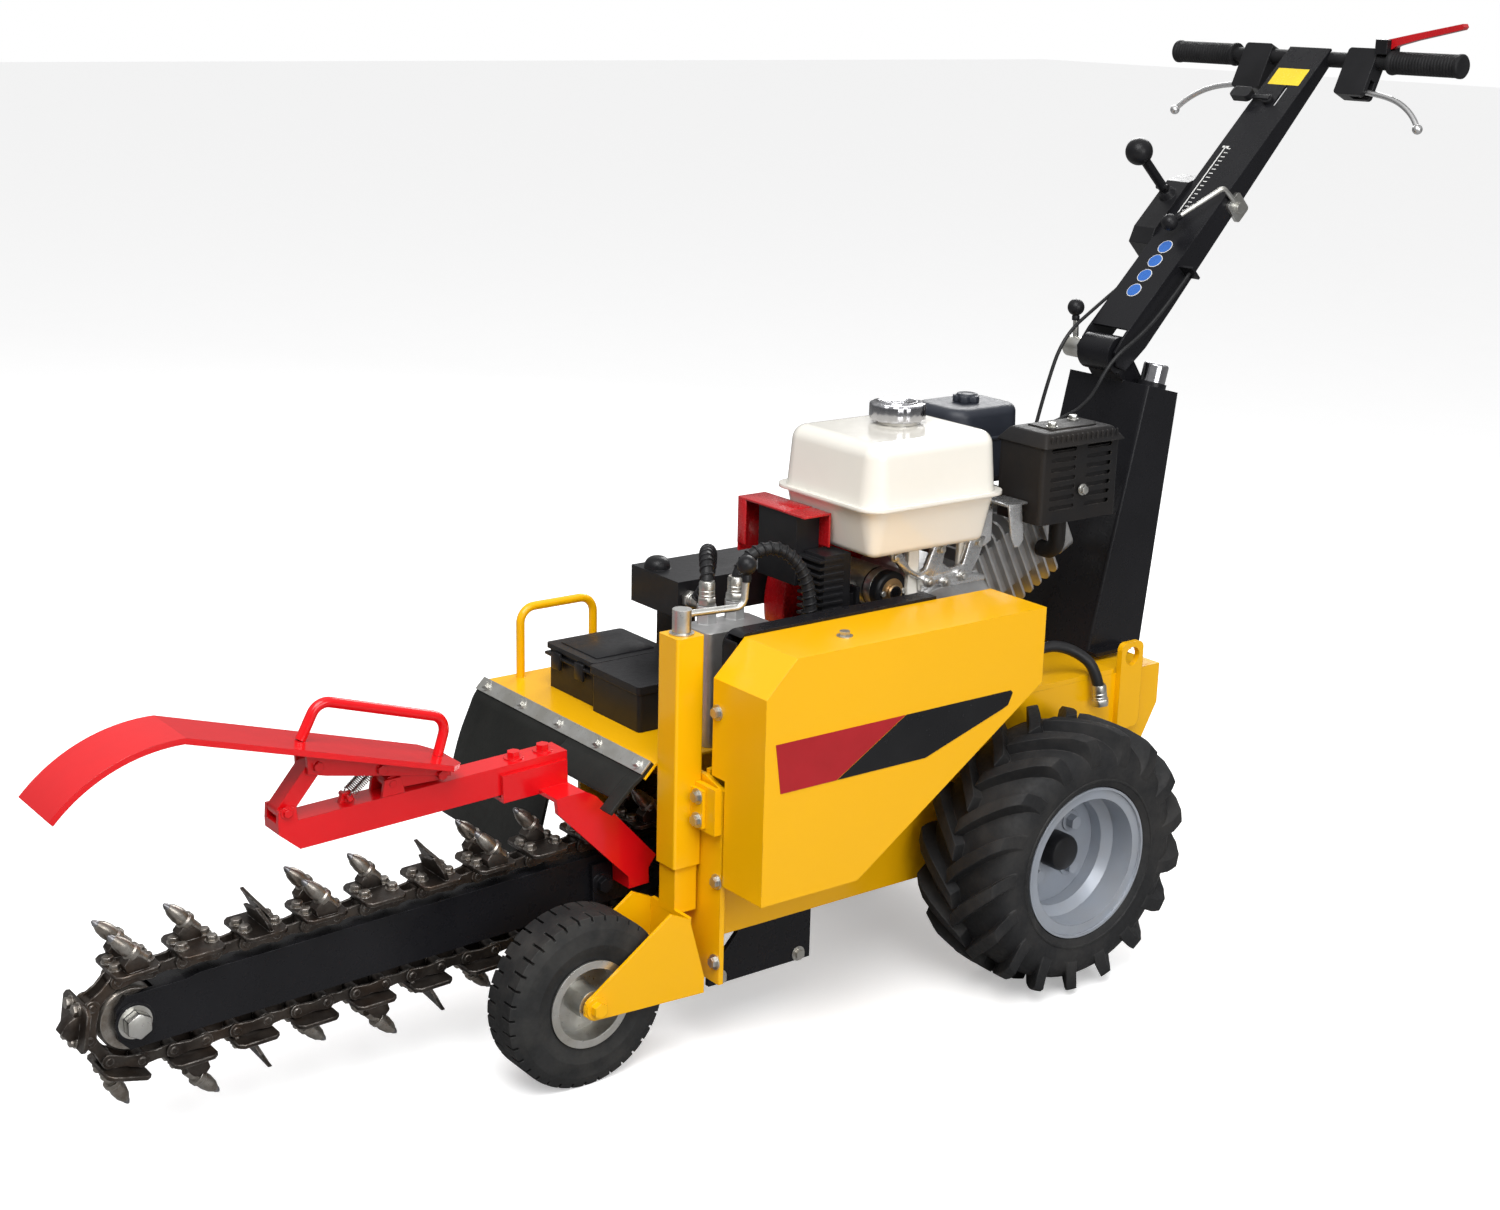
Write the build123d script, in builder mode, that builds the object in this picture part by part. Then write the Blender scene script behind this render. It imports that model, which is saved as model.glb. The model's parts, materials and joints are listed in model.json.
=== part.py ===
"""Walk-behind chain trencher: digging boom in front, engine and belt drive in the middle,
two drive wheels and a tilting handle behind.  Millimetres; +X forward, +Y left, +Z up.
The origin lies on the ground under the middle of the overall box."""
from build123d import *
import math
import os

os.makedirs("parts", exist_ok=True)

# ---------------------------------------------------------------- driving sizes
rear_axle_x = -315.0        # drive axle, from the middle of the overall length
drive_tyre_radius = 206.0   # over the lugs
drive_tyre_width = 165.0
drive_track_half = 271.0    # centre plane of a drive wheel
rim_flange_radius = 116.0   # 8 inch rim
rim_seat_radius = 101.6
rim_width = 150.0
rim_sheet = 4.0
hub_radius = 27.0
hub_tip = 302.0             # outer end of the hub cap, from the centre plane
axle_radius = 17.0
running_clearance = 0.05
part_gap = 0.3              # between neighbours that are not one weld

frame_half_width = 165.0
frame_sheet = 8.0
frame_top = 410.0
frame_bottom = 160.0
frame_front = 556.9         # forward of the rear axle
frame_rear = -327.0

boom_pivot_ahead = 446.5    # forward of the rear axle
boom_pivot_z = 222.5
boom_tilt = 2.0             # degrees nose-down at rest
boom_length = 874.0         # drive sprocket axis to tip roller axis
boom_half_height = 36.0
boom_half_width = 20.0
chain_radius = 57.5         # path of the chain pins round both ends
chain_pitch = 42.01
chain_pitches = 50
link_half_height = 10.0
link_half_width = 17.0
cutter_half_width = 40.0
cutter_reach = 62.0         # tooth tips above the pin line

mast_ahead = 588.0
mast_y = 137.0
mast_width = 45.0
mast_bottom = 273.0
mast_top = 600.0
mast_wall = 4.0
front_wheel_ahead = 756.0
front_tyre_radius = 122.0
front_tyre_width = 76.0
front_wheel_y = 143.0
front_rim_radius = 62.0

handle_pivot_ahead = -327.6
handle_pivot_z = 883.0
handle_angle = 45.0         # slope of the handle arm
handle_half_width = 42.0
bar_radius = 12.5
bar_half_length = 292.0
bar_along = 632.0           # pivot to handlebar along the arm
grip_radius = 17.0
grip_length = 132.0

engine_base = 418.0
crank_ahead = 118.0
crank_z = 519.0


def fwd(distance):
    """X of a place that many millimetres ahead of the rear axle."""
    return rear_axle_x + distance


def side_plane(y):
    """X-Z sketch plane at a given y; extruding goes towards -Y."""
    return Plane.XZ.offset(-y)


def spin_plane(x, z):
    """Sketch plane through a cross axle: local x is world Y, local y is radius."""
    return Plane(origin=(x, 0, z), x_dir=(0, 1, 0), z_dir=(1, 0, 0))


def side_piece(outline, y_left, width, plane=side_plane):
    """Solid with the given side outline, from y_left towards -Y."""
    with BuildPart() as piece:
        with BuildSketch(plane(y_left)):
            with BuildLine():
                Polyline(*outline, close=True)
            make_face()
        extrude(amount=width)
    return piece


def block(x_low, x_high, y_low, y_high, z_low, z_high, rounding=0):
    """Box between two corners, with its upright edges rounded."""
    with BuildPart() as piece:
        with BuildSketch(Plane.XY.offset(z_low)):
            with Locations(((x_low + x_high) / 2, (y_low + y_high) / 2)):
                Rectangle(x_high - x_low, y_high - y_low)
        extrude(amount=z_high - z_low)
        if rounding:
            fillet(piece.edges().filter_by(Axis.Z), rounding)
    return piece


def ring(x, z, y_low, y_high, outer, inner=0):
    """Disc or ring about a cross axle."""
    with BuildPart() as piece:
        with BuildSketch(Plane(origin=(x, y_high, z), x_dir=(1, 0, 0), z_dir=(0, -1, 0))):
            Circle(outer)
            if inner:
                Circle(inner, mode=Mode.SUBTRACT)
        extrude(amount=y_high - y_low)
    return piece


def tube(route, radii, radius, bore=0):
    """Round bar or pipe along straight runs joined by arcs."""
    with BuildPart() as piece:
        with BuildLine() as path:
            FilletPolyline(*route, radius=radii)
        start = path.line @ 0
        with BuildSketch(Plane(origin=start, z_dir=path.line % 0)):
            Circle(radius)
            if bore:
                Circle(bore, mode=Mode.SUBTRACT)
        sweep(path=path.line)
    return piece


def corner_radii(route, share=0.45):
    """One radius for each corner: a share of the shorter run over the tangent of half the turn."""
    points = [Vector(*point) for point in route]
    radii = []
    for before, here, after in zip(points, points[1:], points[2:]):
        run_in, run_out = here - before, after - here
        turn = math.radians(run_in.get_angle(run_out))
        radii.append(share * min(run_in.length, run_out.length) / math.tan(turn / 2))
    return radii


def hex_bolt(place, direction, across=13.0, head=6.0, washer=1.5):
    """Hexagon head on a washer, standing on a face at place and pointing along direction."""
    with BuildPart() as piece:
        with BuildSketch(Plane(origin=place, z_dir=direction)):
            Circle(across * 0.85)
        extrude(amount=washer)
        with BuildSketch(Plane(origin=place, z_dir=direction).offset(washer)):
            RegularPolygon(across / math.sqrt(3), 6)
        extrude(amount=head)
    return piece


def save(name, *pieces):
    """Write one node: a single solid, or a group of separate solids."""
    parts = [getattr(piece, "part", piece) for piece in pieces]
    if len(parts) == 1:
        node = parts[0]
        node.label = name
    else:
        solids = [solid for part in parts for solid in part.solids()]
        node = Compound(label=name, children=solids)
    export_step(node, f"parts/{name}.step")


# ---------------------------------------------------------------- boom coordinates
pivot_x = fwd(boom_pivot_ahead)
boom_sin = math.sin(math.radians(boom_tilt))
boom_cos = math.cos(math.radians(boom_tilt))


def boom_side(y):
    """Sketch plane of the boom: local x runs to the tip, local y stands on the boom."""
    origin = (pivot_x, y, boom_pivot_z)
    return Plane(origin=origin, x_dir=(boom_cos, 0, -boom_sin), z_dir=(0, -1, 0))


def boom_point(along, up, y=0.0):
    """World place of a point given along and above the boom."""
    x = pivot_x + along * boom_cos + up * boom_sin
    z = boom_pivot_z - along * boom_sin + up * boom_cos
    return (x, y, z)


boom_forward = (boom_cos, 0, -boom_sin)
boom_up = (boom_sin, 0, boom_cos)


def boom_ring(along, up, y_low, y_high, outer, inner=0):
    """Disc or ring on the boom, about a cross axis."""
    x, _, z = boom_point(along, up)
    return ring(x, z, y_low, y_high, outer, inner)


# ---------------------------------------------------------------- frame
def make_frame_sides():
    """Two long side plates; each has a hole for the drive axle."""
    outline = [
        (fwd(frame_rear), frame_top),
        (fwd(frame_rear), frame_top - 65),
        (fwd(-225), frame_bottom),
        (fwd(frame_front), frame_bottom),
        (fwd(frame_front), frame_top),
    ]
    sides = []
    for y_left in (frame_half_width, -frame_half_width + frame_sheet):
        with BuildPart() as side:
            with BuildSketch(side_plane(y_left)):
                with BuildLine():
                    Polyline(*outline, close=True)
                make_face()
                with Locations((rear_axle_x, drive_tyre_radius)):
                    Circle(axle_radius + 4, mode=Mode.SUBTRACT)
                with Locations((pivot_x, boom_pivot_z)):
                    Circle(24, mode=Mode.SUBTRACT)
            extrude(amount=frame_sheet)
        sides.append(side)
    save("frame_sides", *sides)


def make_rear_beam():
    """Folded beam across the back, with the two lifting eyes welded outside it."""
    inner = frame_half_width - frame_sheet
    with BuildPart() as beam:
        with BuildSketch(Plane.XY.offset(frame_top - 80)):
            with Locations((fwd(frame_rear) + 52, 0)):
                Rectangle(104, 2 * inner)
        extrude(amount=80)
        with BuildSketch(Plane.XY.offset(frame_top - 80)):
            with Locations((fwd(frame_rear) + 52, 0)):
                Rectangle(104 - 12, 2 * inner - 12)
        extrude(amount=74, mode=Mode.SUBTRACT)
    eyes = []
    for y_left in (frame_half_width + eye_sheet, -frame_half_width):
        with BuildPart() as eye:
            with BuildSketch(side_plane(y_left)):
                with Locations((fwd(eye_ahead), (eye_top + eye_bottom) / 2)):
                    RectangleRounded(eye_width, eye_top - eye_bottom, 12)
                with Locations((fwd(eye_ahead), eye_hole_z)):
                    Circle(eye_hole_radius, mode=Mode.SUBTRACT)
            extrude(amount=eye_sheet)
        eyes.append(eye)
    save("rear_beam", beam, *eyes)


eye_sheet = 10.0
eye_ahead = -252.0
eye_width = 48.0
eye_top = 459.0
eye_bottom = 318.0
eye_hole_z = 436.0
eye_hole_radius = 15.0


def make_engine_deck():
    """Flat plate over the side plates that carries the engine and the oil tank."""
    deck = block(
        fwd(frame_rear + 104 + part_gap), fwd(deck_back - part_gap),
        -frame_half_width, frame_half_width, frame_top, engine_base)
    save("engine_deck", deck)


deck_back = 330.0           # where the front deck starts, ahead of the rear axle
deck_front = 612.0
deck_sheet = 4.0
deck_right = -327.0
deck_left = 114.0
deck_top = frame_top + deck_sheet
lip_length = 26.0


def make_front_deck():
    """Sheet over the boom with a bent front lip, a bent right edge and a grab rail on it."""
    lip = lip_length * math.sqrt(0.5)
    thick = deck_sheet
    outline = [
        (fwd(deck_back), deck_top),
        (fwd(deck_front), deck_top),
        (fwd(deck_front) + lip, deck_top - lip),
        (fwd(deck_front) + lip - thick * 0.7, deck_top - lip - thick * 0.7),
        (fwd(deck_front) - thick * 0.4, deck_top - thick),
        (fwd(deck_back), deck_top - thick),
    ]
    rail_y = deck_right + 16
    rail_low, rail_high = deck_top, deck_top + 108
    rail_front, rail_back = fwd(566), fwd(436)
    route = [
        (rail_front, rail_y, rail_low),
        (rail_front, rail_y, rail_high),
        (rail_back, rail_y, rail_high),
        (rail_back, rail_y, rail_low),
    ]
    with BuildPart() as deck:
        with BuildSketch(side_plane(deck_left)):
            with BuildLine():
                Polyline(*outline, close=True)
            make_face()
        extrude(amount=deck_left - deck_right)
        with BuildSketch(side_plane(deck_right + deck_sheet)):
            with BuildLine():
                Polyline(
                    (fwd(deck_back), deck_top - 30), (fwd(deck_front), deck_top - 30),
                    (fwd(deck_front), deck_top), (fwd(deck_back), deck_top), close=True)
            make_face()
        extrude(amount=deck_sheet)
        with BuildLine() as path:
            FilletPolyline(*route, radius=24)
        with BuildSketch(Plane(origin=route[0], z_dir=(0, 0, 1))):
            Circle(6.5)
        sweep(path=path.line)
    save("front_deck", deck)


def make_flap_strip():
    """Zinc clamping strip on the deck lip, with its five bolts."""
    slope = math.sqrt(0.5)
    centre = lip_length * 0.5
    strip_plane_origin = (
        fwd(deck_front) + centre * slope + (flap_sheet + part_gap) * slope,
        (deck_left + deck_right) / 2,
        deck_top - centre * slope + (flap_sheet + part_gap) * slope)
    plane = Plane(origin=strip_plane_origin, x_dir=(0, 1, 0), z_dir=(slope, 0, slope))
    with BuildPart() as strip:
        with BuildSketch(plane):
            Rectangle(deck_left - deck_right, lip_length - 4)
        extrude(amount=3)
    bolts = []
    for index in range(5):
        y = deck_right + 20 + index * (deck_left - deck_right - 40) / 4
        place = (
            strip_plane_origin[0] + 3 * slope, y, strip_plane_origin[2] + 3 * slope)
        bolts.append(hex_bolt(place, (slope, 0, slope), across=11, head=4.5))
    save("flap_strip", strip, *bolts)


flap_sheet = 6.0


def make_rubber_flap():
    """Rubber sheet that hangs from the strip: long on the right, short over the chain."""
    slope = math.sqrt(0.5)
    top_x = fwd(deck_front) + 1.0 + part_gap * slope
    top_z = deck_top + part_gap * slope - 1.0
    thick = flap_sheet * slope
    lip = (lip_length + 2) * slope

    def hanging(points):
        upper = [(top_x + thick, top_z + thick), (top_x + thick + lip, top_z + thick - lip)]
        lower = [(top_x + lip, top_z - lip), (top_x, top_z)]
        front = [(fwd(ahead) + thick, z + thick * 0.4) for ahead, z in points]
        back = [(fwd(ahead), z) for ahead, z in reversed(points)]
        return upper + front + back + lower

    long_drop = hanging([(652, 350), (672, 300), (685, 255), (692, 215)])
    short_drop = hanging([(650, 384), (668, 366)])
    tab_drop = hanging([(655, 382), (684, 352)])
    long_side = side_piece(long_drop, -70, -70 - deck_right)
    short_side = side_piece(short_drop, 90, 90 + 70)
    tab = side_piece(tab_drop, deck_left, deck_left - 90)
    with BuildPart() as flap:
        add(long_side.part)
        add(short_side.part)
        add(tab.part)
    save("rubber_flap", flap)


front_plate_z = 108.0
front_flange_y = 205.0
flange_inner_y = 72.0


def make_mast_tube():
    """Square tube for the front wheel, its bolted bracket and the outward front flange."""
    x, y, half = fwd(mast_ahead), mast_y, mast_width / 2
    with BuildPart() as mast:
        with BuildSketch(Plane.XY.offset(mast_bottom)):
            with Locations((x, y)):
                RectangleRounded(mast_width, mast_width, 4)
                Rectangle(
                    mast_width - 2 * mast_wall, mast_width - 2 * mast_wall,
                    mode=Mode.SUBTRACT)
        extrude(amount=mast_top - mast_bottom - mast_wall)
        with BuildSketch(Plane.XY.offset(mast_top - mast_wall)):
            with Locations((x, y)):
                RectangleRounded(mast_width, mast_width, 4)
                Circle(screw_radius + 1, mode=Mode.SUBTRACT)
        extrude(amount=mast_wall)
        with BuildSketch(Plane.XY.offset(bracket_low + 6)):
            with Locations((fwd(flange_front) + 16, y + half + 13)):
                Rectangle(6, 26)
        extrude(amount=bracket_high - bracket_low - 12)
    with BuildPart() as bracket:
        with BuildSketch(Plane.XY.offset(bracket_low)):
            with BuildLine():
                Polyline(
                    (fwd(flange_front) + part_gap, front_flange_y),
                    (fwd(flange_front) + 12.7, front_flange_y),
                    (fwd(flange_front) + 12.7, y + half + part_gap),
                    (fwd(flange_front) + 4, y + half + part_gap),
                    (fwd(flange_front) + 4, front_flange_y - 6),
                    (fwd(flange_front) + part_gap, front_flange_y - 6), close=True)
            make_face()
        extrude(amount=bracket_high - bracket_low)
    with BuildPart() as flange:
        with BuildSketch(Plane.YZ.offset(fwd(frame_front) + part_gap)):
            with BuildLine():
                Polyline(
                    (flange_inner_y, front_plate_z), (front_flange_y, front_plate_z),
                    (front_flange_y, 392), (frame_half_width, 404),
                    (flange_inner_y + 6, 404), (flange_inner_y + 6, 330),
                    (flange_inner_y, 330), close=True)
            make_face()
        extrude(amount=frame_sheet)
    save("mast_tube", mast, bracket, flange)


flange_front = frame_front + part_gap + frame_sheet
bracket_low = 330.0
bracket_high = 396.0
screw_radius = 8.0
gear_left = 160.0
shaft_radius = 20.0


def make_chain_gearbox():
    """Gear housing left of the chain, its bearing plate, and the right-hand bearing block."""
    with BuildPart() as housing:
        with BuildSketch(side_plane(frame_half_width - frame_sheet - part_gap)):
            with Locations((pivot_x, boom_pivot_z)):
                Rectangle(150, 124)
                Circle(shaft_radius + running_clearance, mode=Mode.SUBTRACT)
        extrude(amount=frame_half_width - frame_sheet - part_gap - flange_inner_y)
    with BuildPart() as right_bearing:
        with BuildSketch(side_plane(-flange_inner_y)):
            with Locations((pivot_x, boom_pivot_z)):
                Circle(58)
                Circle(shaft_radius + running_clearance, mode=Mode.SUBTRACT)
        extrude(amount=frame_half_width - frame_sheet - part_gap - flange_inner_y)
    foot = frame_bottom - part_gap
    with BuildPart() as plate:
        with BuildSketch(side_plane(frame_half_width)):
            with BuildLine():
                Polyline(
                    (fwd(381.3), 86), (fwd(552), 86), (fwd(552), 104),
                    (fwd(500), foot), (fwd(381.3), foot), close=True)
            make_face()
        extrude(amount=frame_sheet)
        with BuildSketch(Plane.YZ.offset(fwd(372.5))):
            with BuildLine():
                Polyline(
                    (flange_inner_y, 86), (frame_half_width, 86),
                    (frame_half_width, foot), (flange_inner_y, foot), close=True)
            make_face()
        extrude(amount=frame_sheet + 2)
    save("chain_gearbox", housing, right_bearing, plate)


# ---------------------------------------------------------------- covers
cover_rear, cover_front = 66.5, 565.0
cover_outer, cover_inner = 295.3, 179.7
cover_top, cover_bottom = 594.7, 256.2
cover_sheet = 2.5
cover_notch = 408.0         # the front panel is narrower below this height


def make_belt_cover():
    """Folded sheet cover over the belt, open towards the frame and below."""
    outline = [
        (fwd(cover_rear), cover_top), (fwd(cover_front - 50), cover_top),
        (fwd(cover_front), cover_top - 49), (fwd(cover_front), cover_bottom),
        (fwd(399), cover_bottom), (fwd(cover_rear), 483),
    ]
    with BuildPart() as cover:
        with BuildSketch(side_plane(cover_outer)):
            with BuildLine():
                Polyline(*outline, close=True)
            make_face()
        extrude(amount=cover_outer - cover_inner)
        with BuildSketch(side_plane(cover_outer - cover_sheet)):
            with BuildLine():
                Polyline(*outline, close=True)
            make_face()
            offset(amount=-cover_sheet, mode=Mode.REPLACE)
        extrude(amount=cover_outer - cover_inner, mode=Mode.SUBTRACT)
        with BuildSketch(side_plane(front_flange_y + 4)):
            with Locations((fwd(cover_front), (cover_bottom + cover_notch) / 2 - 10)):
                Rectangle(60, cover_notch - cover_bottom + 20)
        extrude(amount=40, mode=Mode.SUBTRACT)
    save("belt_cover", cover)


def make_inner_guard():
    """Black folded guard between the engine and the belt, with a front return."""
    guard_top = cover_top + 4
    guard_right, guard_left = 150.0, cover_inner - part_gap
    front = fwd(530)
    with BuildPart() as guard:
        with BuildSketch(side_plane(guard_left)):
            with BuildLine():
                Polyline(
                    (fwd(172), engine_base + 1), (front, engine_base + 1),
                    (front, guard_top), (fwd(172), guard_top), close=True)
            make_face()
        extrude(amount=guard_left - guard_right)
        fillet(guard.edges().filter_by(Axis.Y).group_by(Axis.X)[-1].sort_by(Axis.Z)[-1:], 22)
        with BuildSketch(side_plane(guard_left)):
            with Locations((fwd((172 + 530) / 2 - 1.5), (engine_base + guard_top) / 2 - 4)):
                Rectangle(530 - 172 - 3, guard_top - engine_base - 2)
        extrude(amount=guard_left - guard_right - 3, mode=Mode.SUBTRACT)
        with BuildSketch(Plane.XY.offset(engine_base + part_gap)):
            with Locations((fwd(250), (140 + guard_left) / 2)):
                Rectangle(120, guard_left - 140)
        extrude(amount=3)
    save("inner_guard", guard)


# ---------------------------------------------------------------- drive wheels
def tyre_profile(track, side):
    """Half-section of the drive tyre: bead, sidewall, tread, bead, then the inside wall."""
    bead = rim_width / 2 - 8.3
    half = drive_tyre_width / 2
    seat = rim_seat_radius + part_gap
    flange = rim_flange_radius + part_gap
    outside = [
        (bead, seat), (bead, flange), (bead + 8, flange + 1), (half, 145),
        (half - 4, 172), (half - 22, 190)]
    inside = [
        (half - 30, 180), (half - 13, 168), (half - 10, 147), (bead - 9, 124), (bead - 9, seat)]
    ring_points = outside + [(-across, r) for across, r in reversed(outside)]
    ring_points += [(-across, r) for across, r in inside[::-1]]
    ring_points += inside
    return [(side * track + across, r) for across, r in ring_points]


lug_count = 17
lug_width = 24.0
lug_length = 92.0
lug_lean = 38.0


def make_drive_wheel(name, side):
    """Tyre with slanted lugs, and the wheel: deep rim, disc, hub with axle, and nuts."""
    x, z = rear_axle_x, drive_tyre_radius
    axis = Axis((x, 0, z), (0, 1, 0))
    centre = side * drive_track_half
    with BuildPart() as tyre:
        with BuildSketch(spin_plane(x, z)):
            with BuildLine():
                Polyline(*tyre_profile(drive_track_half, side), close=True)
            make_face()
        revolve(axis=axis)
        for index in range(lug_count):
            for half in (-1, 1):
                turn = (index + 0.25 * half) * 360 / lug_count
                angle = math.radians(turn)
                out = (math.cos(angle), 0, math.sin(angle))
                place = (
                    x + 185 * out[0], centre + half * 38, z + 185 * out[2])
                along = Vector(0, 1, 0).rotate(Axis((0, 0, 0), out), half * lug_lean * side)
                with BuildSketch(Plane(origin=place, x_dir=along, z_dir=out)):
                    Rectangle(lug_length, lug_width)
                extrude(amount=26)
        with BuildSketch(side_plane(centre + drive_tyre_width / 2)):
            with Locations((x, z)):
                Circle(drive_tyre_radius)
        extrude(amount=drive_tyre_width, mode=Mode.INTERSECT)
    save(f"{name}_tyre", tyre)

    half = rim_width / 2
    seat, flange, well = rim_seat_radius, rim_flange_radius, 88.0
    disc_y = 268.0 - drive_track_half
    barrel = [
        (half, flange), (half - 8, flange), (half - 8, seat), (half - 42, seat),
        (half - 54, well), (-half + 42, well), (-half + 30, seat), (-half + 8, seat),
        (-half + 8, flange), (-half, flange)]
    inner_wall = [
        (-half, flange - rim_sheet), (-half + 4, flange - rim_sheet),
        (-half + 4, seat - rim_sheet), (-half + 31, seat - rim_sheet),
        (-half + 43, well - rim_sheet), (half - 55, well - rim_sheet),
        (half - 43, seat - rim_sheet), (half - 4, seat - rim_sheet),
        (half - 4, flange - rim_sheet), (half, flange - rim_sheet)]
    barrel_points = [(centre + side * across, r) for across, r in barrel + inner_wall]
    with BuildPart() as rim:
        with BuildSketch(spin_plane(x, z)):
            with BuildLine():
                Polyline(*barrel_points, close=True)
            make_face()
            with Locations((centre + side * disc_y, (well + hub_radius) / 2 - 1)):
                Rectangle(6, well - hub_radius - 2.6)
        revolve(axis=axis)
    disc_in = drive_track_half + disc_y - 3
    disc_out = disc_in + 6
    bearing_face = frame_half_width + 14 + part_gap
    with BuildPart() as hub:
        with BuildSketch(spin_plane(x, z)):
            with BuildLine():
                Polyline(
                    (side * 100, 0), (side * 100, axle_radius),
                    (side * bearing_face, axle_radius), (side * bearing_face, 34),
                    (side * (disc_in - 14), 34), (side * (disc_in - 14), 66),
                    (side * (disc_in - part_gap), 66), (side * (disc_in - part_gap), hub_radius),
                    (side * (hub_tip - 6), hub_radius), (side * hub_tip, hub_radius - 6),
                    (side * hub_tip, 0), close=True)
            make_face()
        revolve(axis=axis)
    nuts = []
    for index in range(4):
        angle = math.radians(45 + 90 * index)
        place = (
            x + 50 * math.cos(angle), side * (disc_out + part_gap), z + 50 * math.sin(angle))
        nuts.append(hex_bolt(place, (0, side, 0), across=19, head=13, washer=2))
    save(f"{name}_wheel", rim, hub, *nuts)


def make_transaxle():
    """Hydraulic drive unit between the side plates, and the two axle bearings outside."""
    x, z = rear_axle_x, drive_tyre_radius
    with BuildPart() as unit:
        with BuildSketch(side_plane(98)):
            with Locations((x, z + 12)):
                RectangleRounded(130, 150, 18)
        extrude(amount=196)
        fillet(unit.faces().filter_by(Axis.Y).edges(), 8)
    with BuildPart() as tie:
        with BuildSketch(Plane.XY.offset(z + 87 + part_gap)):
            with Locations((x, 0)):
                Rectangle(80, 2 * (frame_half_width - frame_sheet))
        extrude(amount=10)
    bearings = []
    for y_left in (frame_half_width + 14, -frame_half_width):
        with BuildPart() as bearing:
            with BuildSketch(side_plane(y_left)):
                with Locations((x, z)):
                    RectangleRounded(84, 84, 12)
                    Circle(axle_radius + running_clearance, mode=Mode.SUBTRACT)
            extrude(amount=14)
        bearings.append(bearing)
    save("transaxle", unit, tie, *bearings)


# ---------------------------------------------------------------- oil tank and handle knuckle
tank_half_width = 87.0
tank_low_front, tank_low_rear = -241.6, -366.0
tank_top_front, tank_top_rear = -338.0, -411.4
tank_top_z, tank_top_rear_z = 842.0, 823.5


def make_hydraulic_tank():
    """Leaning wedge-shaped oil tank; the handle knuckle is welded on its top."""
    foot = engine_base + part_gap
    knuckle_x, knuckle_z = fwd(handle_pivot_ahead), handle_pivot_z
    top_z = tank_top_z
    with BuildPart() as tank:
        with BuildSketch(side_plane(tank_half_width)):
            with BuildLine():
                Polyline(
                    (fwd(tank_low_front), foot), (fwd(tank_top_front), top_z),
                    (fwd(tank_top_rear), tank_top_rear_z), (fwd(tank_low_rear), foot),
                    close=True)
            make_face()
        extrude(amount=2 * tank_half_width)
        upright = tank.edges().filter_by(lambda edge: abs(edge.tangent_at(0.5).Z) > 0.9)
        fillet(upright, 6)
        with BuildSketch(side_plane(tank_half_width - tank_sheet)):
            with BuildLine():
                Polyline(
                    (fwd(tank_low_front) - 5, foot + 4), (fwd(tank_top_front) - 4, top_z - 6),
                    (fwd(tank_top_rear) + 5, tank_top_rear_z - 5),
                    (fwd(tank_low_rear) + 5, foot + 4), close=True)
            make_face()
        extrude(amount=2 * (tank_half_width - tank_sheet), mode=Mode.SUBTRACT)
        with BuildSketch(side_plane(knuckle_half)):
            with BuildLine():
                Polyline(
                    (knuckle_x - 24, knuckle_z), (knuckle_x + 24, knuckle_z),
                    (fwd(tank_top_front) - 2, top_z - 6), (fwd(tank_top_front) - 58, top_z - 20),
                    close=True)
            make_face()
        extrude(amount=2 * knuckle_half)
        with BuildSketch(side_plane(knuckle_half)):
            with Locations((knuckle_x, knuckle_z)):
                Circle(knuckle_radius)
        extrude(amount=2 * knuckle_half)
        with BuildSketch(side_plane(knuckle_half)):
            with Locations((knuckle_x, knuckle_z)):
                Circle(pin_radius + running_clearance)
        extrude(amount=2 * knuckle_half, mode=Mode.SUBTRACT)
    with BuildPart() as foot_plate:
        with BuildSketch(Plane.XY.offset(engine_base)):
            with Locations((fwd((tank_low_front + tank_low_rear) / 2 + 22), 0)):
                Rectangle(80, 2 * tank_half_width + 40)
            with Locations((fwd((tank_low_front + tank_low_rear) / 2), 0)):
                Rectangle(140, 2 * tank_half_width + 2 * part_gap, mode=Mode.SUBTRACT)
        extrude(amount=6)
    neck_place = breather_place(0)
    with BuildPart() as neck:
        with BuildSketch(Plane(origin=neck_place, z_dir=breather_axis)):
            Circle(23)
        extrude(amount=7)
    save("hydraulic_tank", tank, *foot_plate.part.solids(), neck)


tank_sheet = 4.0
knuckle_half = 33.0
knuckle_radius = 29.0
pin_radius = 9.0
breather_lean = math.atan2(tank_top_z - tank_top_rear_z, tank_top_front - tank_top_rear)
breather_axis = (-math.sin(breather_lean), 0, math.cos(breather_lean))


def breather_place(height):
    """A point above the tank top, on the filler's own axis."""
    middle_x = (tank_top_front + tank_top_rear) / 2
    middle_z = (tank_top_z + tank_top_rear_z) / 2
    rise = height + part_gap
    return (
        fwd(middle_x) + rise * breather_axis[0], 60, middle_z + rise * breather_axis[2])


def make_breather_cap():
    """Chromed filler cap with a fluted rim."""
    with BuildPart() as cap:
        with BuildSketch(Plane(origin=breather_place(7), z_dir=breather_axis)):
            Circle(20)
        extrude(amount=30)
        fillet(cap.faces().sort_by(Axis.Z)[-1:].edges(), 4)
    save("breather_cap", cap)


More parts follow.
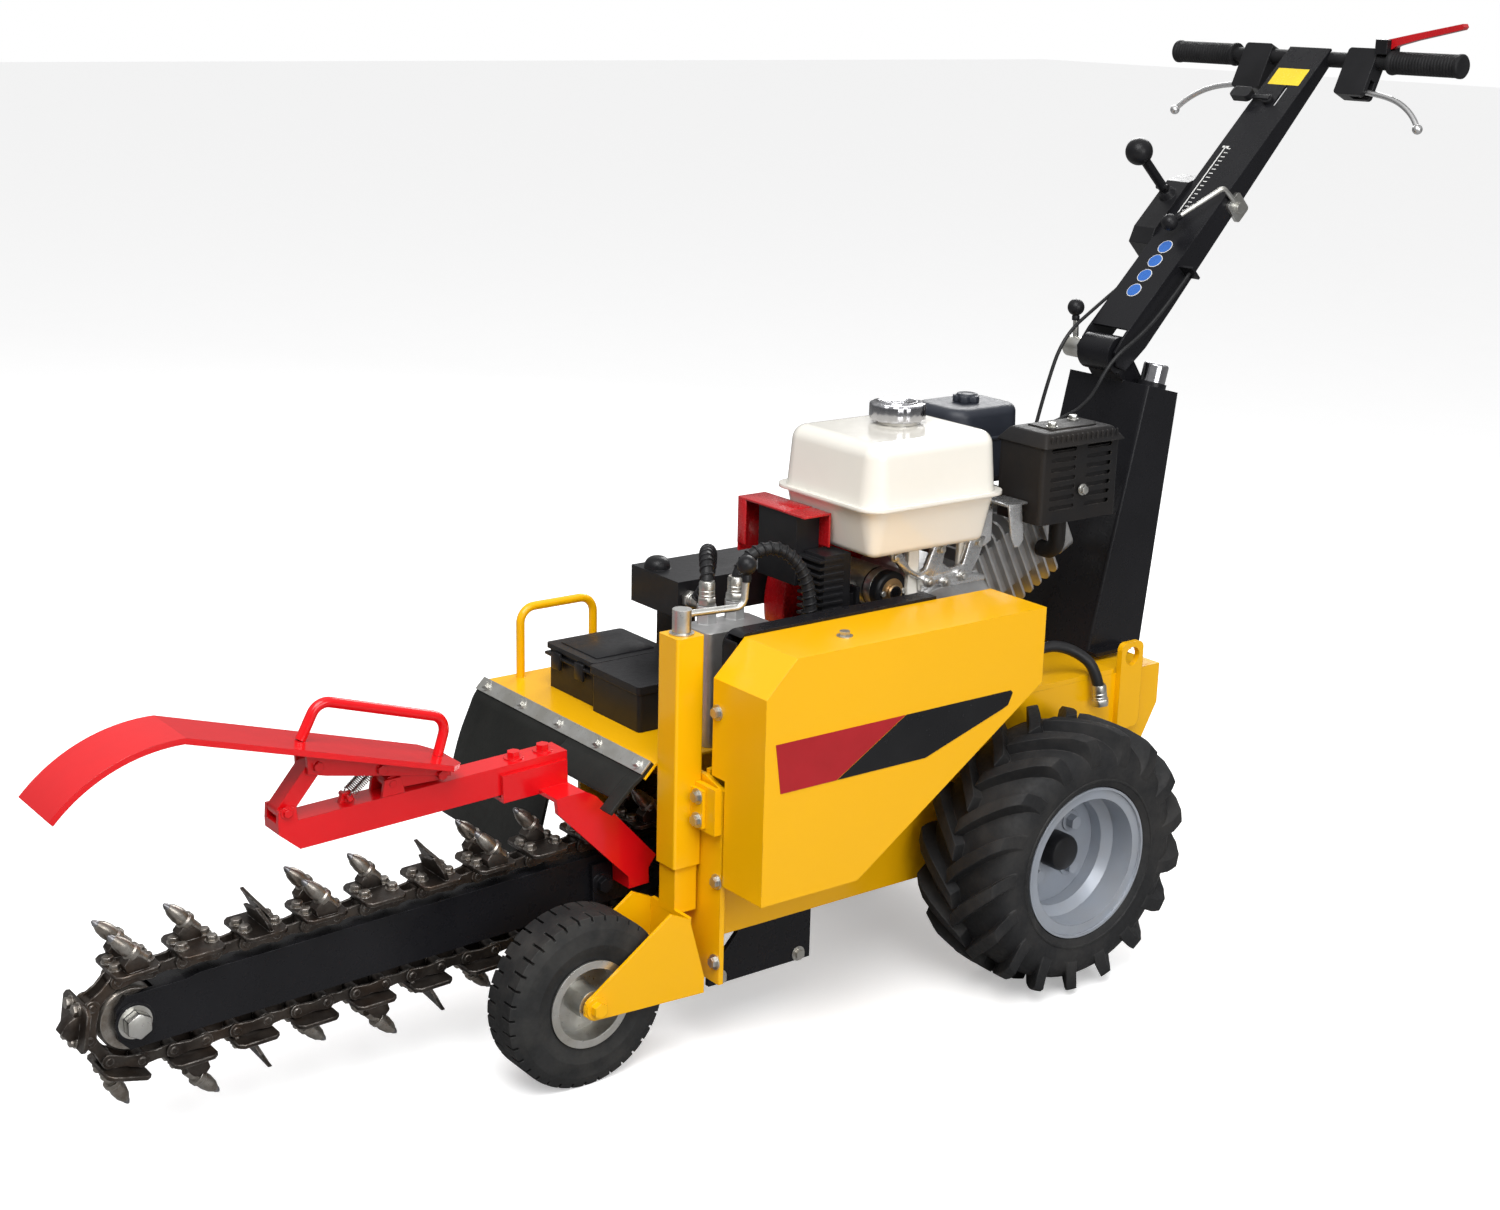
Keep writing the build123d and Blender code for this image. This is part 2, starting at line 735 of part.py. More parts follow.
# ---------------------------------------------------------------- engine
def make_engine_block():
    """Crankcase with its side cover, and the leaning finned cylinder with its head cover."""
    low = engine_base
    with BuildPart() as case:
        with BuildSketch(side_plane(118)):
            with BuildLine():
                Polyline(
                    (fwd(10), low), (fwd(236), low), (fwd(236), 500), (fwd(212), 540),
                    (fwd(150), 556), (fwd(120), 600), (fwd(36), 606), (fwd(-2), 560),
                    (fwd(10), 470), close=True)
            make_face()
        extrude(amount=170)
        fillet(case.faces().filter_by(Axis.Y).edges(), 5)
        with BuildSketch(side_plane(132)):
            with Locations((fwd(crank_ahead), crank_z)):
                Circle(74)
        extrude(amount=20)
        with BuildSketch(side_plane(160)):
            with Locations((fwd(crank_ahead), crank_z)):
                Circle(15, mode=Mode.ADD)
        extrude(amount=40)
    lean = math.radians(cylinder_lean)
    along = (-math.cos(lean), 0, math.sin(lean))
    root = Plane(
        origin=(fwd(8), cylinder_y, cylinder_root_z), x_dir=(0, 1, 0), z_dir=along)
    with BuildPart() as cylinder:
        with BuildSketch(root):
            Rectangle(84, 84)
        extrude(amount=205)
        for index in range(9):
            with BuildSketch(root.offset(26 + index * 19)):
                RectangleRounded(cylinder_width, 148, 16)
            extrude(amount=4)
        with BuildSketch(root.offset(205)):
            RectangleRounded(cylinder_width - 14, 120, 18)
        extrude(amount=26)
    with BuildPart() as block_part:
        add(case.part)
        add(cylinder.part)
    save("engine_block", block_part)


cylinder_y = 16.0
cylinder_width = 108.0
cylinder_root_z = 540.0
cylinder_lean = 27.0


def make_fan_shroud():
    """Red recoil housing on the right of the engine, with the hood over the switch box."""
    with BuildPart() as shroud:
        with BuildSketch(side_plane(-52 - part_gap)):
            with Locations((fwd(crank_ahead), crank_z + 16)):
                Circle(150)
            with Locations((fwd(crank_ahead), engine_base - 100 + part_gap)):
                Rectangle(400, 200, mode=Mode.SUBTRACT)
        extrude(amount=shroud_depth)
        fillet(shroud.faces().sort_by(Axis.Y)[:1].edges(), 12)
        with BuildSketch(side_plane(-52 - part_gap)):
            with Locations((fwd(crank_ahead), crank_z + 16)):
                Circle(146)
            with Locations((fwd(crank_ahead), engine_base - 96 + part_gap)):
                Rectangle(400, 200, mode=Mode.SUBTRACT)
        extrude(amount=shroud_depth - 10, mode=Mode.SUBTRACT)
    with BuildPart() as hood:
        with BuildSketch(Plane.XY.offset(hood_top - 3)):
            with Locations((fwd((hood_rear + hood_front) / 2), -12)):
                Rectangle(hood_front - hood_rear, 152)
        extrude(amount=3)
        with BuildSketch(Plane.YZ.offset(fwd(hood_rear))):
            with Locations((-12, hood_top - 25)):
                Rectangle(152, 50)
        extrude(amount=3)
        with BuildSketch(side_plane(-85)):
            with BuildLine():
                Polyline(
                    (fwd(crank_ahead + 132), 585), (fwd(hood_rear + 1), 662),
                    (fwd(hood_rear + 1), 700), (fwd(crank_ahead + 104), 632), close=True)
            make_face()
        extrude(amount=3)
    with BuildPart() as red_part:
        add(shroud.part)
        add(hood.part)
    save("fan_shroud", red_part)


shroud_depth = 54.0
hood_top = 710.0
hood_rear, hood_front = 277.0, 326.0


def make_engine_electrics():
    """Switch box under the red hood, finned regulator, and the starter motor."""
    switch_box = block(
        fwd(hood_rear + 3 + part_gap), fwd(322), -46, 42, 604, hood_top - 3 - part_gap)
    post = block(fwd(236 + part_gap), fwd(242), 50, 86, 440, 600)
    with BuildPart() as regulator:
        with BuildSketch(Plane.XY.offset(560)):
            with Locations((fwd(284), 68)):
                Rectangle(48, 46)
        extrude(amount=96)
        with BuildSketch(Plane.XY.offset(570)):
            with Locations((fwd(252), 68)):
                Rectangle(20 - 2 * part_gap, 20)
        extrude(amount=20)
        for index in range(9):
            with BuildSketch(Plane.XY.offset(563 + index * 10.5)):
                with Locations((fwd(296), 68)):
                    Rectangle(44, 50)
            extrude(amount=4)
    with BuildPart() as starter:
        with BuildSketch(side_plane(104)):
            with Locations((fwd(190), 590)):
                Circle(30)
        extrude(amount=128)
        fillet(starter.faces().sort_by(Axis.Y)[-1:].edges(), 5)
        with BuildSketch(side_plane(112)):
            with Locations((fwd(190), 590)):
                Circle(10)
        extrude(amount=10)
        with BuildSketch(Plane.XY.offset(550.6)):
            with Locations((fwd(180), 40)):
                Rectangle(16, 60)
        extrude(amount=20)
    save("engine_electrics", switch_box, post, regulator, starter)


tank_x_low, tank_x_high = 22.0, 288.0
tank_y_low, tank_y_high = -67.0, 166.0
fuel_flange_z = 728.0


def make_fuel_tank():
    """Pressed steel tank: a tall upper shell, a seam flange and a shallower lower shell."""
    mid_x, mid_y = fwd((tank_x_low + tank_x_high) / 2), (tank_y_low + tank_y_high) / 2
    length, width = tank_x_high - tank_x_low, tank_y_high - tank_y_low
    with BuildPart() as tank:
        with BuildSketch(Plane.XY.offset(fuel_flange_z)):
            with Locations((mid_x, mid_y)):
                RectangleRounded(length, width, 34)
        extrude(amount=5)
        with BuildSketch(Plane.XY.offset(fuel_flange_z + 5)):
            with Locations((mid_x, mid_y)):
                RectangleRounded(length - 18, width - 18, 32)
        extrude(amount=88, taper=5)
        fillet(tank.faces().sort_by(Axis.Z)[-1:].edges(), 22)
        with BuildSketch(Plane.XY.offset(fuel_flange_z)):
            with Locations((mid_x, mid_y)):
                RectangleRounded(length - 20, width - 20, 30)
        extrude(amount=-72, taper=12)
        fillet(tank.faces().sort_by(Axis.Z)[:1].edges(), 12)
        with BuildSketch(Plane.XY.offset(fuel_flange_z - 60)):
            with Locations((mid_x, mid_y)):
                RectangleRounded(length - 64, width - 64, 20)
        extrude(amount=138, mode=Mode.SUBTRACT)
        with BuildSketch(Plane.XY.offset(fuel_flange_z + 4)):
            with Locations((mid_x, mid_y)):
                RectangleRounded(length - 34, width - 34, 24)
        extrude(amount=66, taper=5, mode=Mode.SUBTRACT)
        with BuildSketch(Plane.XY.offset(fuel_flange_z + 80)):
            with Locations((fwd(fuel_cap_ahead), fuel_cap_y)):
                Circle(30)
        extrude(amount=fuel_neck_top - fuel_flange_z - 80)
    stays = []
    tank_foot = fuel_flange_z - 72 - part_gap
    for ahead, low in ((60, 606.5), (158, 560)):
        stays.append(block(fwd(ahead - 10), fwd(ahead + 10), 104.3, 111.6, low, tank_foot))
    save("fuel_tank", tank, *stays)


fuel_cap_ahead = 132.0
fuel_cap_y = 32.0
fuel_neck_top = 826.0


def make_fuel_cap():
    """Fluted chrome fuel cap."""
    with BuildPart() as cap:
        with BuildSketch(Plane.XY.offset(fuel_neck_top + part_gap)):
            with Locations((fwd(fuel_cap_ahead), fuel_cap_y)):
                Circle(36)
        extrude(amount=26)
        fillet(cap.faces().sort_by(Axis.Z)[-1:].edges(), 5)
    save("fuel_cap", cap)


def make_air_cleaner():
    """Rounded black air-cleaner lid with a wing knob."""
    with BuildPart() as cleaner:
        with BuildSketch(Plane.XY.offset(712)):
            with Locations((fwd(-76), -46)):
                RectangleRounded(146, 120, 34)
        extrude(amount=108, taper=2)
        fillet(cleaner.faces().sort_by(Axis.Z)[-1:].edges(), 14)
        with BuildSketch(Plane.XY.offset(700)):
            with Locations((fwd(-76), -46)):
                RectangleRounded(120, 96, 20)
        extrude(amount=14)
        with BuildSketch(Plane.XY.offset(820)):
            with Locations((fwd(-82), -46)):
                Circle(13)
        extrude(amount=12)
        with BuildSketch(Plane.XY.offset(590)):
            with Locations((fwd(-76), -62)):
                Rectangle(52, 46)
        extrude(amount=112)
        with BuildSketch(side_plane(cylinder_y - cylinder_width / 2 - part_gap)):
            with Locations((fwd(-76), 606)):
                Rectangle(30, 22)
        extrude(amount=30)
    save("air_cleaner", cleaner)


muffler_rear, muffler_front = -194.0, -34.0
muffler_right, muffler_left = 75.0, 170.0
muffler_low, muffler_high = 672.0, 802.0


def make_muffler():
    """Perforated heat guard round the silencer, and the pipe up from the head."""
    mid_x = fwd((muffler_rear + muffler_front) / 2)
    mid_y = (muffler_right + muffler_left) / 2
    length = muffler_front - muffler_rear
    with BuildPart() as guard:
        with BuildSketch(Plane.XY.offset(muffler_low)):
            with Locations((mid_x, mid_y)):
                RectangleRounded(length, muffler_left - muffler_right, 7)
        extrude(amount=muffler_high - muffler_low - 14)
        with BuildSketch(Plane.XY.offset(muffler_high - 14)):
            with Locations((mid_x, mid_y)):
                RectangleRounded(length + 4, muffler_left - muffler_right + 4, 9)
        extrude(amount=14, taper=40)
        with BuildSketch(Plane.XY.offset(muffler_low)):
            with Locations((mid_x, mid_y)):
                Rectangle(length - 5, muffler_left - muffler_right - 5)
        extrude(amount=muffler_high - muffler_low - 18, mode=Mode.SUBTRACT)
        for column in (-37, 37):
            for row in range(7):
                with BuildSketch(side_plane(muffler_left + 2)):
                    with Locations((mid_x + column, muffler_low + 24 + row * 14.5)):
                        SlotOverall(52, 6.5)
                extrude(amount=10, mode=Mode.SUBTRACT)
    with BuildPart() as silencer:
        with BuildSketch(Plane.XY.offset(muffler_low + 4)):
            with Locations((mid_x, mid_y)):
                RectangleRounded(
                    length - 5 - 2 * part_gap, muffler_left - muffler_right - 5 - 2 * part_gap, 26)
        extrude(amount=muffler_high - muffler_low - 24)
        with BuildSketch(Plane.XY.offset(muffler_low + 7)):
            with Locations((mid_x, mid_y)):
                RectangleRounded(length - 14, muffler_left - muffler_right - 14, 20)
        extrude(amount=muffler_high - muffler_low - 30, mode=Mode.SUBTRACT)
    pipe_x, pipe_y = fwd(-140), 104
    route = [
        (pipe_x, pipe_y, muffler_low + 3.7), (pipe_x, pipe_y, 604),
        (pipe_x, cylinder_y + cylinder_width / 2 + part_gap, 604)]
    pipe = tube(route, [20], 13)
    save("muffler", guard, silencer, pipe)


# ---------------------------------------------------------------- belt drive
driven_ahead = 430.0
driven_z = 380.0
engine_pulley_radius = 44.0
driven_pulley_radius = 84.0
belt_left, belt_right = 236.0, 214.0


def make_belt_drive():
    """Engine pulley, driven pulley with its shaft, and the vee belt round both."""
    start, end = (fwd(crank_ahead), crank_z), (fwd(driven_ahead), driven_z)
    pulleys = (
        ("engine_pulley", start, engine_pulley_radius, 160 + part_gap),
        ("pump_pulley", end, driven_pulley_radius, frame_half_width + part_gap))
    for name, (x, z), radius, inner_end in pulleys:
        with BuildPart() as pulley:
            with BuildSketch(spin_plane(x, z)):
                with BuildLine():
                    Polyline(
                        (inner_end, 0), (inner_end, 16), (belt_right - 5, 16),
                        (belt_right - 5, radius + 4), (belt_right - 1, radius + 4),
                        (belt_right - 1, radius - 9), (belt_left + 1, radius - 9),
                        (belt_left + 1, radius + 4), (belt_left + 5, radius + 4),
                        (belt_left + 5, 0), close=True)
                make_face()
            revolve(axis=Axis((x, 0, z), (0, 1, 0)))
        save(name, pulley)
    outer = belt_outline(start, end, engine_pulley_radius, driven_pulley_radius)
    inner = belt_outline(start, end, engine_pulley_radius - 8.5, driven_pulley_radius - 8.5)
    with BuildPart() as belt:
        with BuildSketch(side_plane(belt_left)):
            add(outer)
            add(inner, mode=Mode.SUBTRACT)
        extrude(amount=belt_left - belt_right)
    save("drive_belt", belt)


def belt_outline(start, end, first, second):
    """Outline of a loop that wraps two circles."""
    with BuildSketch() as outline:
        with Locations(start):
            Circle(first)
        with Locations(end):
            Circle(second)
        make_hull()
    return outline.sketch


# ---------------------------------------------------------------- things on the deck
box_low = deck_top + part_gap
box_back, box_front = 424.0, 562.0


def make_deck_boxes():
    """Battery in its case, and the tool box with a lid hinged along its back edge."""
    battery = block(fwd(box_back), fwd(box_front - 10), -252, -128, box_low, 474, rounding=6)
    battery_lid = block(
        fwd(box_back - 3), fwd(box_front - 6), -255, -126, 474 + part_gap, 482, rounding=6)
    save("battery", battery, battery_lid)
    with BuildPart() as box:
        with BuildSketch(Plane.XY.offset(box_low)):
            with Locations((fwd((box_back + box_front) / 2), -60)):
                RectangleRounded(box_front - box_back, 122, 6)
        extrude(amount=56)
        with BuildSketch(Plane.XY.offset(box_low + 4)):
            with Locations((fwd((box_back + box_front) / 2), -60)):
                RectangleRounded(box_front - box_back - 8, 114, 4)
        extrude(amount=56, mode=Mode.SUBTRACT)
    save("tool_box", box)
    lid = block(
        fwd(box_back - 2), fwd(box_front + 3), -123.5, 3, box_low + 56 + part_gap,
        box_low + 68, rounding=6)
    with BuildPart() as hinged_lid:
        add(lid.part)
        for y in (-90, -30):
            barrel_x, barrel_z = fwd(box_back - 5), box_low + 57
            add(ring(barrel_x, barrel_z, y - 12, y + 12, 3.6).part)
    save("tool_box_lid", hinged_lid)


def make_valve_cover():
    """Long black valve housing on a leg, with a domed vent on its front corner."""
    with BuildPart() as cover:
        with BuildSketch(Plane.XY.offset(531)):
            with Locations((fwd(310), -172)):
                Rectangle(216, 122)
        extrude(amount=56)
        with BuildSketch(Plane.XY.offset(deck_top + part_gap)):
            with Locations((fwd(372), -180)):
                Rectangle(40, 44)
        extrude(amount=531 - deck_top - part_gap)
        with BuildSketch(Plane.XY.offset(587)):
            with Locations((fwd(396), -196)):
                Circle(20)
        extrude(amount=18)
        fillet(cover.faces().sort_by(Axis.Z)[-1:].edges(), 15)
    save("valve_cover", cover)


def make_hydraulic_pump():
    """Cast pump on the deck behind the mast, with two port fittings on top."""
    with BuildPart() as pump:
        with BuildSketch(Plane.XY.offset(deck_top + part_gap)):
            with Locations((fwd(465), 74)):
                RectangleRounded(110, 64, 10)
        extrude(amount=165)
        for ahead, y in port_places:
            with BuildSketch(Plane.XY.offset(deck_top + 165)):
                with Locations((fwd(ahead), y)):
                    RegularPolygon(15, 6)
            extrude(amount=26)
    save("hydraulic_pump", pump)


port_places = ((488, 56), (440, 56))
port_top = deck_top + 191.0


def make_hydraulic_hoses():
    """Pressure hoses from the ports over to the valve housing and down to the drive."""
    front_port, rear_port = port_places
    first = [
        (fwd(front_port[0]), front_port[1], port_top + part_gap),
        (fwd(front_port[0]), front_port[1], port_top + 42),
        (fwd(front_port[0] - 30), front_port[1] - 46, port_top + 66),
        (fwd(front_port[0] - 78), front_port[1] - 96, port_top + 40),
        (fwd(front_port[0] - 88), -76, 560),
        (fwd(front_port[0] - 88), -111 + part_gap, 560),
    ]
    second = [
        (fwd(rear_port[0]), rear_port[1], port_top + part_gap),
        (fwd(rear_port[0]), rear_port[1], port_top + 52),
        (fwd(rear_port[0] - 52), rear_port[1] + 20, port_top + 80),
        (fwd(rear_port[0] - 92), rear_port[1] + 44, port_top + 40),
        (fwd(rear_port[0] - 98), rear_port[1] + 52, port_top - 40),
        (fwd(rear_port[0] - 94), rear_port[1] + 48, port_top - 120),
        (fwd(rear_port[0] - 94), rear_port[1] + 48, deck_top + part_gap),
    ]
    hoses = []
    for route in (first, second):
        radii = corner_radii(route)
        print("hose radii", [round(radius, 1) for radius in radii])
        hoses.append(tube(route, radii, 9))
    suction = [
        (fwd(-60), 128, engine_base + part_gap), (fwd(-60), 128, 452),
        (fwd(-104), 136, 470), (fwd(-146), 152, 458), (fwd(-170), 181, 430),
        (fwd(-178), 184, 372),
    ]
    hoses.append(tube(suction, corner_radii(suction), 9))
    save("hydraulic_hoses", *hoses)


def make_chassis_bolts():
    """Hexagon bolts of the flange, the bracket, the gearbox plate and the cover."""
    face = fwd(flange_front)
    bracket_face = fwd(flange_front) + 19
    places = [
        ((face, 196, 259), (1, 0, 0)), ((face, 196, 140), (1, 0, 0)),
        ((bracket_face, 174, 386 - 6), (1, 0, 0)), ((bracket_face, 174, 346), (1, 0, 0)),
        ((fwd(533), frame_half_width, 96), (0, 1, 0)),
        ((fwd(394), frame_half_width, 96), (0, 1, 0)),
        ((fwd(cover_front), 190, 500), (1, 0, 0)),
        ((fwd(400), 250, cover_top), (0, 0, 1)),
    ]
    bolts = [hex_bolt(place, direction) for place, direction in places]
    save("chassis_bolts", *bolts)


# ---------------------------------------------------------------- front wheel
fork_plate_gap = 6.0


def make_front_fork():
    """Inner square tube with the bent fork plates and the axle bolt."""
    x, y = fwd(mast_ahead), mast_y
    inner = mast_width - 2 * mast_wall - 2 * part_gap
    left = front_wheel_y + front_tyre_width / 2 + fork_plate_gap
    right = front_wheel_y - front_tyre_width / 2 - fork_plate_gap
    wheel_x, wheel_z = fwd(front_wheel_ahead), front_tyre_radius
    cheek = [
        (fwd(580), 96), (fwd(580), 120), (fwd(606), 212), (fwd(636), 226),
        (wheel_x + 16, wheel_z + 10), (wheel_x + 18, wheel_z - 8), (wheel_x, wheel_z - 18),
    ]
    with BuildPart() as fork:
        with BuildSketch(Plane.XY.offset(205)):
            with Locations((x, y)):
                Rectangle(inner, inner)
                Circle(screw_radius + 1.2, mode=Mode.SUBTRACT)
        extrude(amount=540 - 205)
        for outer_y in (left + 5, right):
            with BuildSketch(side_plane(outer_y)):
                with BuildLine():
                    Polyline(*cheek, close=True)
                make_face()
                with Locations((wheel_x, wheel_z)):
                    Circle(18)
            extrude(amount=5)
        with BuildSketch(Plane.YZ.offset(fwd(600))):
            with Locations(((left + right) / 2, 165)):
                Rectangle(left - right, 94)
        extrude(amount=6)
        with BuildSketch(Plane.XY.offset(205)):
            with Locations((x, y)):
                Rectangle(inner, inner)
        extrude(amount=6)
        with BuildSketch(side_plane(left + 5)):
            with Locations((wheel_x, wheel_z)):
                Circle(8)
        extrude(amount=left - right + 10)
    heads = [
        hex_bolt((wheel_x, left + 5, wheel_z), (0, 1, 0), across=19, head=10, washer=2),
        hex_bolt((wheel_x, right - 5, wheel_z), (0, -1, 0), across=19, head=8, washer=2)]
    with BuildPart() as whole:
        add(fork.part)
        for head in heads:
            add(head.part)
    save("front_fork", whole)


def make_front_wheel():
    """Solid rubber block-tread tyre on a pressed rim with a ball-bearing hub."""
    x, z = fwd(front_wheel_ahead), front_tyre_radius
    y, half = front_wheel_y, front_tyre_width / 2
    axis = Axis((x, 0, z), (0, 1, 0))
    seat = front_rim_radius - 8
    with BuildPart() as tyre:
        with BuildSketch(spin_plane(x, z)):
            with BuildLine():
                Polyline(
                    (y + half - 8, seat + part_gap), (y + half - 5, front_rim_radius + 3),
                    (y + half, 84), (y + half - 3, 106),
                    (y + half - 10, front_tyre_radius), (y - half + 10, front_tyre_radius),
                    (y - half + 3, 106), (y - half, 84),
                    (y - half + 5, front_rim_radius + 3), (y - half + 8, seat + part_gap),
                    close=True)
            make_face()
        revolve(axis=axis)
        for index in range(36):
            angle = math.radians(index * 10)
            out = (math.cos(angle), 0, math.sin(angle))
            for row in (-1, 1):
                turn = angle + math.radians(2.5 * row)
                out = (math.cos(turn), 0, math.sin(turn))
                place = (
                    x + (front_tyre_radius + 2) * out[0], y + row * 24,
                    z + (front_tyre_radius + 2) * out[2])
                with BuildSketch(Plane(origin=place, x_dir=(0, 1, 0), z_dir=out)):
                    Rectangle(30, 3.5)
                extrude(amount=-9, mode=Mode.SUBTRACT)
    save("front_tyre", tyre)
    edge = half - 1.4
    axle_hole = 8 + running_clearance
    with BuildPart() as rim:
        with BuildSketch(spin_plane(x, z)):
            with BuildLine():
                Polyline(
                    (y + edge, front_rim_radius), (y + edge - 3.2, front_rim_radius),
                    (y + edge - 3.2, seat), (y - edge + 3.2, seat),
                    (y - edge + 3.2, front_rim_radius), (y - edge, front_rim_radius),
                    (y - edge, seat - 3), (y - 3, seat - 3), (y - 3, 22),
                    (y - half - 3, 22), (y - half - 3, axle_hole), (y + half + 3, axle_hole),
                    (y + half + 3, 22), (y + 3, 22), (y + 3, seat - 3),
                    (y + edge, seat - 3), close=True)
            make_face()
        revolve(axis=axis)
    save("front_rim", rim)


def make_crank_handle():
    """Jack crank on the mast: hub with washer and screw, bent arm and ball."""
    x, y = fwd(mast_ahead), mast_y
    base = mast_top + part_gap
    reach = 92.0
    with BuildPart() as crank:
        with BuildSketch(Plane.XY.offset(base)):
            with Locations((x, y)):
                Circle(17)
        extrude(amount=2)
        with BuildSketch(Plane.XY.offset(base + 2)):
            with Locations((x, y)):
                Circle(13)
        extrude(amount=32)
        with BuildSketch(Plane.XY.offset(base)):
            with Locations((x, y)):
                Circle(screw_radius)
        extrude(amount=-(base - 320))
        with BuildLine() as path:
            FilletPolyline(
                (x, y, base + 26), (x - reach, y + 14, base + 26),
                (x - reach - 3, y + 15, base + 74), radius=14)
        with BuildSketch(Plane(origin=(x, y, base + 26), z_dir=path.line % 0)):
            Circle(5)
        sweep(path=path.line)
        with Locations((x - reach - 3, y + 15, base + 84)):
            Sphere(13)
    save("crank_handle", crank)


# ---------------------------------------------------------------- digging boom
def make_boom_bar():
    """Black digging bar: long box with a rub rail, tip ears and root cheeks."""
    w = boom_half_height
    root, tip = 78.0, boom_length + 22
    roller_clear = tip_roller_radius + 4
    with BuildPart() as bar:
        with BuildSketch(boom_side(boom_half_width)):
            with BuildLine():
                Polyline(
                    (root, -w), (root, w + 4), (boom_length - 90, w + 4),
                    (boom_length - 70, w), (tip - 14, w), (tip, w - 16), (tip, -w + 16),
                    (tip - 14, -w), close=True)
            make_face()
        extrude(amount=2 * boom_half_width)
        with BuildSketch(boom_side(roller_half)):
            with Locations((boom_length, 0)):
                Circle(roller_clear)
            with Locations((boom_length + 60, 0)):
                Rectangle(120, 2 * roller_clear)
        extrude(amount=2 * roller_half, mode=Mode.SUBTRACT)
    cheeks = []
    for y_left in (boom_half_width + part_gap + 9, -boom_half_width - part_gap):
        with BuildPart() as cheek:
            with BuildSketch(boom_side(y_left)):
                with BuildLine():
                    Polyline(
                        (0, -32), (210, -30), (210, 30), (0, 32), close=True)
                make_face()
                Circle(32)
                Circle(shaft_radius + running_clearance, mode=Mode.SUBTRACT)
            extrude(amount=9)
        cheeks.append(cheek)
    place = boom_point(boom_length, 0)
    bolts = [
        hex_bolt((place[0], side * boom_half_width, place[2]), (0, side, 0), 30, 15, 3)
        for side in (1, -1)]
    with BuildPart() as axle:
        with BuildSketch(Plane(
                origin=(place[0], roller_half, place[2]), x_dir=(1, 0, 0),
                z_dir=(0, -1, 0))):
            Circle(12)
        extrude(amount=2 * roller_half)
    with BuildPart() as nose:
        add(bar.part)
        add(axle.part)
        for bolt in bolts:
            add(bolt.part)
    side_bolts = [
        hex_bolt(boom_point(along, 0, boom_half_width + part_gap + 9), (0, 1, 0), 19, 10, 2)
        for along in (112, 195)]
    save("boom_bar", nose, *cheeks, *side_bolts)


tip_roller_radius = 42.8
roller_half = 12.0


def make_tip_roller():
    """Steel idler wheel that the chain runs round at the tip."""
    x, _, z = boom_point(boom_length, 0)
    half = roller_half - 1
    with BuildPart() as roller:
        with BuildSketch(spin_plane(x, z)):
            with BuildLine():
                Polyline(
                    (-half, 12.05), (half, 12.05), (half, tip_roller_radius - 3),
                    (half - 3, tip_roller_radius), (-half + 3, tip_roller_radius),
                    (-half, tip_roller_radius - 3), close=True)
            make_face()
        revolve(axis=Axis((x, 0, z), (0, 1, 0)))
    save("tip_roller", roller)


def make_drive_sprocket():
    """Sprocket on the drive shaft; its teeth stay just inside the chain."""
    root_radius = 34.0
    tooth_tip = tip_roller_radius
    with BuildPart() as sprocket:
        with BuildSketch(boom_side(9)):
            Circle(root_radius)
            with PolarLocations(0, 8):
                with BuildLine():
                    Polyline(
                        (root_radius - 3, -10), (tooth_tip, -4), (tooth_tip, 4),
                        (root_radius - 3, 10), close=True)
                make_face()
        extrude(amount=18)
        with BuildSketch(side_plane(frame_half_width)):
            with Locations((pivot_x, boom_pivot_z)):
                Circle(shaft_radius)
        extrude(amount=2 * frame_half_width)
    save("drive_sprocket", sprocket)


def chain_place(travelled):
    """Place on the pin line after travelling along the chain: along, up and heading."""
    bend = math.pi * chain_radius * chord_share
    loop = 2 * boom_length + 2 * bend
    s = travelled % loop
    if s < boom_length:
        return s, chain_radius, 0.0
    s -= boom_length
    if s < bend:
        angle = math.pi * s / bend
        return (
            boom_length + chain_radius * math.sin(angle), chain_radius * math.cos(angle), -angle)
    s -= bend
    if s < boom_length:
        return boom_length - s, -chain_radius, -math.pi
    s -= boom_length
    angle = math.pi * s / bend
    return -chain_radius * math.sin(angle), -chain_radius * math.cos(angle), -math.pi - angle


half_step = math.asin(chain_pitch / 2 / chain_radius)
chord_share = math.sin(half_step) / half_step


def chain_pins():
    """Pin places round the loop, one pitch apart."""
    bend = math.pi * chain_radius * chord_share
    loop = 2 * boom_length + 2 * bend
    step = loop / chain_pitches
    return [chain_place(index * step + chain_start)[:2] for index in range(chain_pitches)]


chain_start = 6.0


def make_digging_chain():
    """The chain as it stands: one rounded link for each pitch, wide and narrow in turn."""
    pins = chain_pins()
    links = []
    for index, start in enumerate(pins):
        end = pins[(index + 1) % chain_pitches]
        before = pins[index - 1]
        after = pins[(index + 2) % chain_pitches]
        heading = math.atan2(end[1] - start[1], end[0] - start[0])
        length = math.hypot(end[0] - start[0], end[1] - start[1])
        gap_start = end_gap(before, start, end)
        gap_end = end_gap(start, end, after)
        first = gap_start + link_half_height
        last = length - gap_end - link_half_height
        half = link_half_width - (4 if index % 2 else 0)
        middle = (first + last) / 2
        with BuildPart() as link:
            with BuildSketch(boom_side(half)):
                with Locations(Location(
                        (start[0] + middle * math.cos(heading),
                         start[1] + middle * math.sin(heading)), math.degrees(heading))):
                    SlotCenterToCenter(last - first, 2 * link_half_height)
            extrude(amount=2 * half)
        links.append(link)
    save("digging_chain", *links)


def end_gap(before, here, after):
    """Room a rounded link end needs at a pin, more where the chain bends there."""
    first = math.atan2(here[1] - before[1], here[0] - before[0])
    second = math.atan2(after[1] - here[1], after[0] - here[0])
    bend = abs((second - first + math.pi) % (2 * math.pi) - math.pi)
    return (link_half_height + 0.2) / math.cos(bend / 2) - link_half_height


